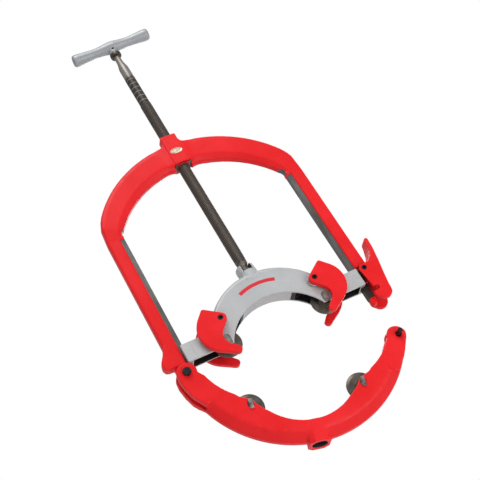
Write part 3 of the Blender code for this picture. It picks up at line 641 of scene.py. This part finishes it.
def badge():
    """Plain oval plate: dished face inside a raised rim."""
    bm = bmesh.new()
    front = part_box("plain_badge")[0].y - TOOL.y
    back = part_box("plain_badge")[1].y - TOOL.y
    half_x, half_z = 12 * MM, 6.3 * MM
    steps = ((0, back), (0, front + 0.35 * MM), (0.35 * MM, front), (1.0 * MM, front),
             (1.35 * MM, front + 0.35 * MM), (3.5 * MM, front + 0.25 * MM), (5.6 * MM, front + 0.18 * MM))
    rings = []
    for inset, y in steps:
        turns = [2 * pi * i / 64 for i in range(64)]
        rings.append([((half_x - inset) * cos(t), y, BADGE_Z + (half_z - inset) * sin(t)) for t in turns])
    plate = object_from(loft(bm, rings), "badge_plate", 50)
    finish(plate, "frame", nickel("badge_metal", (0.80, 0.66, 0.52), (0.44, 0.33, 0.24)), "plain_badge")


def feed_nut():
    nut = node_copy("feed_nut", "nut_flange")
    bevelled(nut, 0.4 * MM, 2)
    finish(nut, "frame", nut_finish(), "feed_nut")


def hex_outline(centre, reach, turn):
    return [(centre[0] + reach * cos(radians(60 * i + turn)), centre[1] + reach * sin(radians(60 * i + turn)))
            for i in range(6)]


def hinge_bolt(black):
    """Hex-head bolt with a washer face, and its nut behind."""
    centre = (HINGE[0], 0, HINGE[1])
    head_y, back_y = (corner.y - TOOL.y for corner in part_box("hinge_bolt"))
    seat_y = -JAW_HALF - 0.3 * MM
    hexagon = bmesh.new()
    prism(hexagon, hex_outline(HINGE, BOLT_HEAD_R, 30), head_y, seat_y - 0.7 * MM)
    bolt = chamfered(object_from(hexagon, "hinge_bolt_head"), head_y, seat_y)
    stem = bmesh.new()
    spun(stem, [(BOLT_R - 0.8 * MM, seat_y - 1 * MM), (BOLT_R, seat_y), (BOLT_R, back_y - 0.8 * MM),
                (BOLT_R - 0.8 * MM, back_y)], centre, "Y", 40)
    spun(stem, [(BOLT_HEAD_R - 1 * MM, seat_y - 0.9 * MM), (BOLT_HEAD_R - 1 * MM, seat_y)], centre, "Y", 48)
    merged(bolt, object_from(stem, "stem"))
    finish(bolt, "frame", black, "hinge_bolt")
    low_y, high_y = (corner.y - TOOL.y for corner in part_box("hinge_nut"))
    hexagon = bmesh.new()
    prism(hexagon, hex_outline(HINGE, BOLT_HEAD_R, 0), low_y, high_y)
    nut = chamfered(object_from(hexagon, "hinge_nut_hex"), high_y, low_y)
    bore = bmesh.new()
    spun(bore, [(BOLT_R + 0.2 * MM, 0), (BOLT_R + 0.2 * MM, 40 * MM)], centre, "Y", 40)
    cut(nut, object_from(bore, "bore"))
    finish(nut, "frame", black, "hinge_nut")


def chamfered(obj, tip_y, base_y):
    """Turns off the corners of a hex about the hinge's axis at its tip_y end."""
    inward = 1.3 * MM if tip_y < base_y else -1.3 * MM
    limit = bmesh.new()
    spun(limit, [(BOLT_HEAD_R - 1.1 * MM, tip_y), (BOLT_HEAD_R + 0.4 * MM, tip_y + inward),
                 (BOLT_HEAD_R + 0.4 * MM, base_y + inward)], (HINGE[0], 0, HINGE[1]), "Y", 64)
    other = object_from(limit, "cone")
    applied(obj, "BOOLEAN", operation="INTERSECT", solver="EXACT", object=other)
    bpy.data.objects.remove(other, do_unlink=True)
    return obj


def merged(obj, *others):
    """Puts the other objects' meshes into obj as further closed shells."""
    bm = bmesh.new()
    bm.from_mesh(obj.data)
    for other in others:
        bm.from_mesh(other.data)
        bpy.data.objects.remove(other, do_unlink=True)
    bm.to_mesh(obj.data)
    bm.free()
    return obj


# ---- Feed screw and handle ----

def thread_shell(bm):
    """Right-hand thread laid out on a helical grid, so that its crests run along mesh edges."""
    columns, shape = 48, ((0.0, 0.0), (0.14, 0.0), (0.46, 1.0), (0.62, 1.0), (0.94, 0.0))
    worn_z, worn_reach = -130 * MM, 22 * MM
    turns = int((THREAD_TOP_Z - THREAD_LOW_Z) / PITCH) + 3
    rows = []
    for k in range(turns * len(shape)):
        part, height = shape[k % len(shape)]
        row = []
        for j in range(columns):
            angle = 2 * pi * j / columns
            z = THREAD_LOW_Z + PITCH * (k // len(shape) - 1 + part + j / columns)
            z = min(max(z, THREAD_LOW_Z), THREAD_TOP_Z)
            fade = min(1.0, (z - THREAD_LOW_Z) / (6 * MM), (THREAD_TOP_Z - z) / (3 * MM))
            worn = 0.55 + 0.45 * min(1.0, max(0.0, (z - worn_z) / worn_reach))
            radius = SCREW_R - THREAD_DEPTH * (1 - height * fade * worn)
            row.append(bm.verts.new((radius * cos(angle), radius * sin(angle), z)))
        rows.append(row)
    for k in range(len(rows) - len(shape) - 1):
        for j in range(columns):
            a, b = rows[k][j], rows[k + 1][j]
            if j + 1 < columns:
                c, d = rows[k + 1][j + 1], rows[k][j + 1]
            else:
                c, d = rows[k + 1 + len(shape)][0], rows[k + len(shape)][0]
            bm.faces.new((a, d, c, b))
    bmesh.ops.remove_doubles(bm, verts=bm.verts, dist=0.002 * MM)
    bmesh.ops.holes_fill(bm, edges=[e for e in bm.edges if e.is_boundary], sides=200)


def grooved_shank():
    """Plain shank above the thread with six marking grooves, then the neck up into the handle."""
    profile = [(SCREW_R - THREAD_DEPTH, THREAD_TOP_Z - 2 * MM), (10.3 * MM, THREAD_TOP_Z + 1 * MM)]
    for i in range(6):
        z = 279 * MM + i * 11.8 * MM
        profile += [(10.3 * MM, z - 1.3 * MM), (10.3 * MM, z - 0.9 * MM), (9.45 * MM, z - 0.2 * MM),
                    (9.45 * MM, z + 0.2 * MM), (10.3 * MM, z + 0.9 * MM), (10.3 * MM, z + 1.3 * MM)]
    profile += [(10.3 * MM, SHANK_TOP_Z - 1 * MM), (10.3 * MM, SHANK_TOP_Z), (9.9 * MM, 345.5 * MM),
                (9.9 * MM, 347 * MM), (9.9 * MM, 373 * MM), (9.5 * MM, 377 * MM),
                (7.4 * MM, 387 * MM), (6.6 * MM, 392 * MM), (6.4 * MM, 398 * MM), (6.4 * MM, 435.5 * MM)]
    return profile


def feed_screw(steel):
    bm = bmesh.new()
    thread_shell(bm)
    spun(bm, grooved_shank())
    root = SCREW_R - THREAD_DEPTH
    spun(bm, [(6.2 * MM, -171 * MM), (7.4 * MM, -169.5 * MM), (7.4 * MM, -161 * MM), (5.6 * MM, -160 * MM),
              (5.6 * MM, -155 * MM), (7.4 * MM, -154 * MM), (7.4 * MM, -143 * MM), (8.6 * MM, -140 * MM),
              (root - 0.2 * MM, THREAD_LOW_Z), (root - 0.2 * MM, THREAD_LOW_Z + 3 * MM)])
    finish(object_from(bm, "screw_thread", 60), "screw", steel, "feed_screw")


def handle_collar(metal):
    low, high = 409.5 * MM, 418.5 * MM
    bm = bmesh.new()
    profile = [(6.6 * MM, low), (10.2 * MM, low), (11.2 * MM, low + 1 * MM), (11.4 * MM, low + 2.5 * MM),
               (11.4 * MM, high - 2.5 * MM), (11.2 * MM, high - 1 * MM), (10.2 * MM, high), (6.6 * MM, high)]
    rings = []
    for i in range(64):
        turn = 2 * pi * i / 64
        rings.append([(r * cos(turn), r * sin(turn), z) for r, z in profile])
    loft(bm, rings, closed=True)
    finish(object_from(bm, "neck_collar"), "screw", metal, "handle_collar")


def bar_radius(x):
    """Radius of the T-handle's waisted bar at a distance x from its middle."""
    waist = 0.42
    t = abs(x) / HANDLE_HALF
    middle = 4.0 * max(0.0, 1 - t / waist) ** 1.5
    end = 3.1 * max(0.0, (t - waist) / 0.50) ** 1.3
    return min(13.0, 9.9 + middle + end) * MM


def t_handle(paint):
    bm = bmesh.new()
    ends = [(2.5 * MM, 7 * MM), (6.4 * MM, 6.4 * MM), (8 * MM, 1.2 * MM), (9.6 * MM, 0),
            (11.6 * MM, 1.6 * MM), (12.6 * MM, 4.4 * MM)]
    profile = [(r, inset - HANDLE_HALF) for r, inset in ends]
    xs = [HANDLE_HALF * (i / 15 - 1) for i in range(2, 29)]
    profile += [(bar_radius(x), x) for x in xs]
    profile += [(r, HANDLE_HALF - inset) for r, inset in reversed(ends)]
    spun(bm, profile, (0, 0, HANDLE_Z), "X", 48)
    handle = object_from(bm, "handle_bar")
    hub = bmesh.new()
    spun(hub, [(9.4 * MM, 419 * MM), (9.8 * MM, 421 * MM), (10.8 * MM, 431 * MM), (10.8 * MM, HANDLE_Z)])
    joined(handle, object_from(hub, "hub"))
    cast(handle, 0.7 * MM, 5, 26000)
    hole = bmesh.new()
    spun(hole, [(2.8 * MM, -20 * MM), (2.8 * MM, 20 * MM)], (0, 0, PIN_Z), "Y", 32)
    bore = bmesh.new()
    spun(bore, [(6.7 * MM, 400 * MM), (6.7 * MM, 436.5 * MM)])
    cut(handle, object_from(hole, "hole"), object_from(bore, "bore"))
    turn_about_screw(handle)
    finish(handle, "screw", paint, "t_handle")


def turn_about_screw(obj):
    spin = Matrix.Translation(TOOL) @ Matrix.Rotation(HANDLE_TURN, 4, "Z") @ Matrix.Translation(-TOOL)
    obj.data.transform(spin)


def handle_pin(black):
    bm = bmesh.new()
    ring_body(bm, split_profile(1.2 * MM, 2.5 * MM, 9.4 * MM), (0, PIN_Z), 32, 0.35)
    pin = object_from(bm, "handle_split_pin")
    turn_about_screw(pin)
    finish(pin, "screw", black, "handle_pin")


def split_profile(inner, outer, half):
    """Half section of a hollow pin with chamfered ends, as (radius, y) pairs."""
    c = 0.35 * MM
    return [(inner, -half), (outer - c, -half), (outer, c - half), (outer, half - c), (outer - c, half),
            (inner, half)]


# ---- Carriage ----

def carriage_shape(points):
    """Draws the arch's outer side in towards both faces, and sinks both faces between the arms' pads."""
    hub_low_z, face_top_z = -178 * MM, -176 * MM
    face_y = CARRIAGE_HALF - 0.7 * MM
    x, y, z = points.T
    reach = np.hypot(x, z - ARCH_Z)
    over = np.clip((np.abs(y) - (CARRIAGE_HALF - ARCH_ROUND)) / ARCH_ROUND, 0, 1)
    limit = ARCH_R - ARCH_ROUND * (1 - np.sqrt(1 - over ** 2 * 0.98))
    hub = (np.hypot(x, y) < HUB_R + 0.6 * MM) & (z > hub_low_z)
    outside = (reach > limit) & (z > ARM_TOP_Z + 0.8 * MM) & ~hub
    scale = np.where(outside, limit / np.maximum(reach, 1e-6), 1)
    face = (np.abs(x) < PAD_X) & (z < face_top_z) & (np.abs(y) > face_y)
    points[:, 0] = x * scale
    points[:, 1] = np.where(face, np.sign(y) * face_y, y)
    points[:, 2] = ARCH_Z + (z - ARCH_Z) * scale
    return points


def hub_pad():
    """Square pad on the front of the hub."""
    bm = bmesh.new()
    prism(bm, [(-12.6 * MM, -174.5 * MM), (12.4 * MM, -174.5 * MM), (12.4 * MM, -156 * MM),
               (-12.6 * MM, -156 * MM)], -18.4 * MM, -10 * MM)
    return object_from(bm, "pad")


def hub_flare():
    """Web that spreads from the hub into the top of the arch."""
    bm = bmesh.new()
    outline = [(-17 * MM, -146 * MM), (-18.6 * MM, -154 * MM), (-22 * MM, -161.5 * MM), (-32 * MM, -170 * MM),
               (36 * MM, -170 * MM), (28 * MM, -162 * MM), (21.5 * MM, -157.5 * MM), (17.6 * MM, -149 * MM)]
    prism(bm, outline, -11 * MM, 11 * MM)
    return object_from(bm, "flare")


def hub_prong():
    """Pointed corner of the hub's upper lip, behind the screw on the right."""
    bm = bmesh.new()
    rings = []
    for z, spread, inner, outer in ((-146 * MM, 40, CUP_R, 17.8 * MM), (-141 * MM, 30, CUP_R, 17.6 * MM),
                                    (-135 * MM, 6, 14 * MM, 16.5 * MM)):
        ring = []
        for radius, turns in ((inner, (-1, 0, 1)), (outer, (1, 0, -1))):
            for turn in turns:
                angle = radians(22 + spread * turn)
                ring.append((radius * cos(angle), radius * sin(angle), z))
        rings.append(ring)
    return object_from(loft(bm, rings), "prong")


def hub_window():
    """Space above the pad, where the cup is open at the front and shows the end of the screw."""
    bm = bmesh.new()
    prism(bm, rectangle(-9 * MM, -156 * MM, 30 * MM, -120 * MM), -30 * MM, -1.5 * MM)
    return object_from(bm, "window")


def carriage(paint):
    body = node_copy("carriage", "carriage_casting")
    bore = bmesh.new()
    spun(bore, [(NECK_BORE_R, -178 * MM), (NECK_BORE_R, -158 * MM), (CUP_R, -155.5 * MM),
                (CUP_R, -120 * MM)])
    joined(body, hub_pad(), hub_flare(), hub_prong())
    cut(body, object_from(bore, "bore"), hub_window())
    cast(body, 0.8 * MM, 4, 90000, carriage_shape)
    finish(body, "carriage", paint, "carriage")


def retaining_pins(metal):
    for side, name in ((-1, "left"), (1, "right")):
        bm = bmesh.new()
        spun(bm, [(1.6 * MM, -16 * MM), (2 * MM, -15.6 * MM), (2 * MM, 15.6 * MM), (1.6 * MM, 16 * MM)],
             (side * RETAINER[0], 0, RETAINER[1]), "Y", 24)
        node = "screw_retaining_pin_" + name
        finish(object_from(bm, "retainer_" + name), "carriage", metal, node)


def jaw_open(obj):
    """Turns a piece drawn on the closed jaw to the rest pose."""
    hinge = Vector((HINGE[0], 0, HINGE[1])) + TOOL
    turn = Matrix.Translation(hinge) @ Matrix.Rotation(REST_OPEN, 4, "Y") @ Matrix.Translation(-hinge)
    obj.data.transform(turn)


def at_rest(x, z):
    """Where a point drawn on the closed jaw is at rest."""
    dx, dz = x - HINGE[0], z - HINGE[1]
    return (HINGE[0] + dx * cos(REST_OPEN) + dz * sin(REST_OPEN),
            HINGE[1] - dx * sin(REST_OPEN) + dz * cos(REST_OPEN))


def wheel(node, centre, body):
    """Cutter wheel: thin bevelled rim, flat web, stepped hub with a chamfered end."""
    rim, web = 0.12 * MM, 2.4 * MM
    side = [(5.3 * MM, 9 * MM), (9.6 * MM, 9 * MM), (10.4 * MM, 8.3 * MM), (10.4 * MM, 6.1 * MM),
            (11 * MM, 5.7 * MM), (11 * MM, 3.4 * MM), (11.8 * MM, web + 0.25 * MM), (13 * MM, web),
            (20.4 * MM, web), (20.8 * MM, web - 0.12 * MM), (WHEEL_R - 0.2 * MM, 2 * rim), (WHEEL_R, rim)]
    profile = [(r, -y) for r, y in side] + [(r, y) for r, y in reversed(side)]
    bm = bmesh.new()
    ring_body(bm, profile, centre, 96)
    metal = turned_steel(node + "_steel", (0.075, 0.064, 0.050), (0.17, 0.15, 0.122), centre)
    finish(object_from(bm, node + "_turned", 25), body, metal, node)


def carriage_wheel_pin(side, name, metal):
    """Wheel pin with a long oval head whose rim is turned up."""
    node = "carriage_wheel_pin_" + name
    x, z = side * WHEEL_X, WHEEL_UP_Z
    front = -CARRIAGE_HALF - 1.8 * MM
    bm = bmesh.new()
    spun(bm, [(4.4 * MM, -CARRIAGE_HALF), (5 * MM, -CARRIAGE_HALF + 0.6 * MM),
              (5 * MM, CARRIAGE_HALF + 0.9 * MM), (4.4 * MM, CARRIAGE_HALF + 1.5 * MM)], (x, 0, z), "Y", 40)
    rings = []
    for inset, y in ((0, -CARRIAGE_HALF - 0.3 * MM), (0, front + 0.4 * MM), (0.4 * MM, front),
                     (1.0 * MM, front), (1.5 * MM, front + 0.6 * MM), (3.2 * MM, front + 0.6 * MM)):
        r = 5.5 * MM - inset
        ring = arc(x, z + 5 * MM, r, 0, 180, 16) + arc(x, z - 4 * MM, r, 180, 360, 16)
        rings.append([(px, y, pz) for px, pz in ring])
    loft(bm, rings)
    finish(object_from(bm, node + "_head"), "carriage", metal, node)


def guide_washers(metal):
    for side, side_name in ((-1, "left"), (1, "right")):
        for face_name in ("front", "back"):
            node = f"guide_washer_{side_name}_{face_name}"
            low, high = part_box(node)
            y0, y1 = low.y - TOOL.y, high.y - TOOL.y
            bore, rim, c = 4.8 * MM, 12.5 * MM, 0.5 * MM
            profile = [(bore, y0), (rim - c, y0), (rim, y0 + c), (rim, y1 - c), (rim - c, y1), (bore, y1)]
            bm = bmesh.new()
            ring_body(bm, profile, (side * GUIDE_PIVOT[0], GUIDE_PIVOT[1]), 64)
            finish(object_from(bm, node + "_turned"), "carriage", metal, node)


def guides(red):
    for side_name in ("left", "right"):
        for face_name in ("front", "back"):
            node = f"guide_{side_name}_{face_name}"
            plate = node_copy(node, node + "_casting")
            cast(plate, 0.55 * MM, 12, 18000)
            finish(plate, "guides_" + side_name, red, node)


def split_pin(node, centre, half, body, black):
    bm = bmesh.new()
    ring_body(bm, split_profile(SPLIT_PIN_BORE_R, SPLIT_PIN_R, half), centre, 48, 0.4)
    finish(object_from(bm, node + "_split"), body, black, node)


# ---- Lower jaw ----

def lower_jaw(red):
    body = node_copy("lower_jaw", "jaw_casting")
    cast(body, 0.9 * MM, 9, 90000)
    soften_ridge(body)
    finish(body, "jaw", red, "lower_jaw")


def soften_ridge(body):
    """Rounds the ridge between the jaw's flat faces and the slope to its rim."""
    x, y, z = points_of(body).T
    middle = at_rest(0, JAW_CENTRE_Z)
    reach = np.hypot(x - middle[0], z - middle[1])
    band = np.clip(1.8 - np.abs(reach - JAW_RIDGE_R) / (9 * MM), 0, 1)
    weight = np.where((np.abs(y) > 9 * MM) & (z < HINGE[1] - 55 * MM), band, 0)
    smoothed(body, weight, 90)


def catch_pin(black):
    half = 27.5 * MM
    bm = bmesh.new()
    spun(bm, [(3.4 * MM, -half), (4.5 * MM, 0.9 * MM - half), (4.5 * MM, half - 0.9 * MM), (3.4 * MM, half)],
         (CATCH[0], 0, CATCH[1]), "Y", 40)
    pin = object_from(bm, "catch_cross_pin")
    jaw_open(pin)
    finish(pin, "jaw", black, "catch_pin")


def jaw_wheel_pin(side, name, metal):
    """Wheel pin that ends in a flat-sided tang with rounded edges."""
    node = "jaw_wheel_pin_" + name
    x, z = side * WHEEL_X, WHEEL_LOW_Z
    tang = bmesh.new()
    half_x, half_z = 3.6 * MM, 8.4 * MM
    outline = rectangle(x - half_x, z - half_z, x + half_x, z + half_z)
    prism(tang, outline, -JAW_HALF - 2.5 * MM, -JAW_HALF - 0.3 * MM)
    piece = object_from(tang, node + "_tang")
    bevelled(piece, 0.8 * MM, 3)
    shank = bmesh.new()
    spun(shank, [(4.4 * MM, -JAW_HALF - 0.3 * MM), (5 * MM, 0.4 * MM - JAW_HALF),
                 (5 * MM, JAW_HALF + 0.9 * MM), (4.4 * MM, JAW_HALF + 1.5 * MM)], (x, 0, z), "Y", 40)
    merged(piece, object_from(shank, "shank"))
    jaw_open(piece)
    finish(piece, "jaw", metal, node)


def latch(red):
    body = node_copy("latch_lever", "latch_casting")
    cast(body, 0.6 * MM, 10, 36000)
    finish(body, "latch", red, "latch_lever")


# ---- Stage ----

def floor():
    """Pale floor below the tool, seen and lit from above only."""
    size = 12
    bm = bmesh.new()
    corners = [(-size, -size), (size, -size), (size, size), (-size, size)]
    bm.faces.new([bm.verts.new((x, y, FLOOR_Z)) for x, y in corners])
    mesh = bpy.data.meshes.new("floor")
    bm.to_mesh(mesh)
    bm.free()
    plane = bpy.data.objects.new("floor", mesh)
    bpy.context.scene.collection.objects.link(plane)
    s = Shader("pale_floor")
    s.done(s.mix(s.noise(3, 2), (0.80, 0.80, 0.80), (0.84, 0.84, 0.84)), 0.8)
    output = s.tree.nodes["Material Output"]
    see_through = s.add("BsdfTransparent").outputs[0]
    backface = s.add("NewGeometry").outputs["Backfacing"]
    blend = s.add("MixShader", {0: backface, 1: s.surface.outputs[0], 2: see_through})
    s.tree.links.new(blend.outputs[0], output.inputs["Surface"])
    plane.data.materials.append(s.material)
    plane.visible_shadow = False


def world():
    """Even studio surround: white to the camera, a little dimmer and cooler as light."""
    surround = bpy.data.worlds.new("studio")
    bpy.context.scene.world = surround
    surround.use_nodes = True
    tree = surround.node_tree
    light = tree.nodes["Background"]
    light.inputs["Color"].default_value = (0.93, 0.96, 1.0, 1)
    light.inputs["Strength"].default_value = 0.55
    seen = tree.nodes.new("ShaderNodeBackground")
    seen.inputs["Color"].default_value = (1, 1, 1, 1)
    path = tree.nodes.new("ShaderNodeLightPath")
    blend = tree.nodes.new("ShaderNodeMixShader")
    tree.links.new(path.outputs["Is Camera Ray"], blend.inputs[0])
    tree.links.new(light.outputs[0], blend.inputs[1])
    tree.links.new(seen.outputs[0], blend.inputs[2])
    tree.links.new(blend.outputs[0], tree.nodes["World Output"].inputs["Surface"])


def area_light(name, place, target, size, power):
    data = bpy.data.lights.new(name, "AREA")
    data.size = size
    data.energy = power
    lamp = bpy.data.objects.new(name, data)
    lamp.location = place
    lamp.rotation_euler = (Vector(target) - Vector(place)).to_track_quat("-Z", "Y").to_euler()
    bpy.context.scene.collection.objects.link(lamp)


def lights():
    middle = (0, -0.02, -0.15)
    area_light("key", (0, -1.9, 2.4), middle, 1.5, 49)
    area_light("right", (0.8, -1.5, -1.1), middle, 1.0, 10)
    area_light("back", (1.2, 2.2, 0.8), middle, 1.8, 34)


def camera():
    """Looks up from the lower left of the front, rolled so that the screw leans to the left."""
    place = Vector((-0.51910, -1.49461, -1.02099))
    turn = radians(20.0682)
    rise = radians(26.7607)
    roll = radians(31.4839)
    view = Vector((sin(turn) * cos(rise), cos(turn) * cos(rise), sin(rise)))
    data = bpy.data.cameras.new("camera")
    data.sensor_width = 36
    data.lens = 73.098
    data.clip_end = 50
    shot = bpy.data.objects.new("camera", data)
    shot.location = place
    upright = view.to_track_quat("-Z", "Y").to_matrix().to_4x4()
    spin = Matrix.Rotation(roll, 4, view)
    shot.rotation_euler = (spin @ upright).to_euler()
    bpy.context.scene.collection.objects.link(shot)
    bpy.context.scene.camera = shot


def build():
    red = red_enamel()
    steel = milled_steel()
    black = black_oxide()
    bright = nickel()
    main_frame(red_enamel("frame_enamel", bare_runout, STEEL), steel)
    badge()
    feed_nut()
    hinge_bolt(black)
    feed_screw(thread_steel())
    handle_collar(nickel("collar_steel", (0.11, 0.092, 0.078), (0.045, 0.038, 0.033)))
    t_handle(grey_casting("handle_alloy", HANDLE_GREY, GREY_DARK, metallic=0.45, speckle=0.07))
    handle_pin(black)
    carriage(grey_casting("carriage_paint", GREY, GREY_DARK, stripe_and_slot_shade=True))
    retaining_pins(bright)
    guide_washers(nickel("washer_zinc", (0.62, 0.63, 0.64), (0.40, 0.41, 0.42)))
    guides(red)
    # Dark grey inside the jaw's socket: bare metal with painted shade.
    lower_jaw(red_enamel("jaw_enamel", jaw_socket, (0.03, 0.026, 0.026)))
    catch_pin(black)
    # Near black inside the latch: painted shade.
    latch(red_enamel("latch_enamel", latch_inside, (0.06, 0.004, 0.006)))
    for side, name in ((-1, "left"), (1, "right")):
        pivot = (side * GUIDE_PIVOT[0], GUIDE_PIVOT[1])
        wheel("carriage_wheel_" + name, (side * WHEEL_X, WHEEL_UP_Z), "carriage_wheel_" + name)
        wheel("jaw_wheel_" + name, at_rest(side * WHEEL_X, WHEEL_LOW_Z), "jaw_wheel_" + name)
        carriage_wheel_pin(side, name, nickel("pin_steel_" + name, (0.36, 0.33, 0.30), (0.13, 0.115, 0.10)))
        jaw_wheel_pin(side, name, bright)
        split_pin("guide_pin_" + name, pivot, GUIDE_FACE + 0.4 * MM, "guides_" + name, black)
    split_pin("latch_pivot_pin", LATCH_PIVOT, LATCH_HALF + 0.4 * MM, "frame", black)
    world()
    lights()
    floor()
    camera()


build()
view_settings = bpy.context.scene.view_settings
view_settings.view_transform = "Standard"
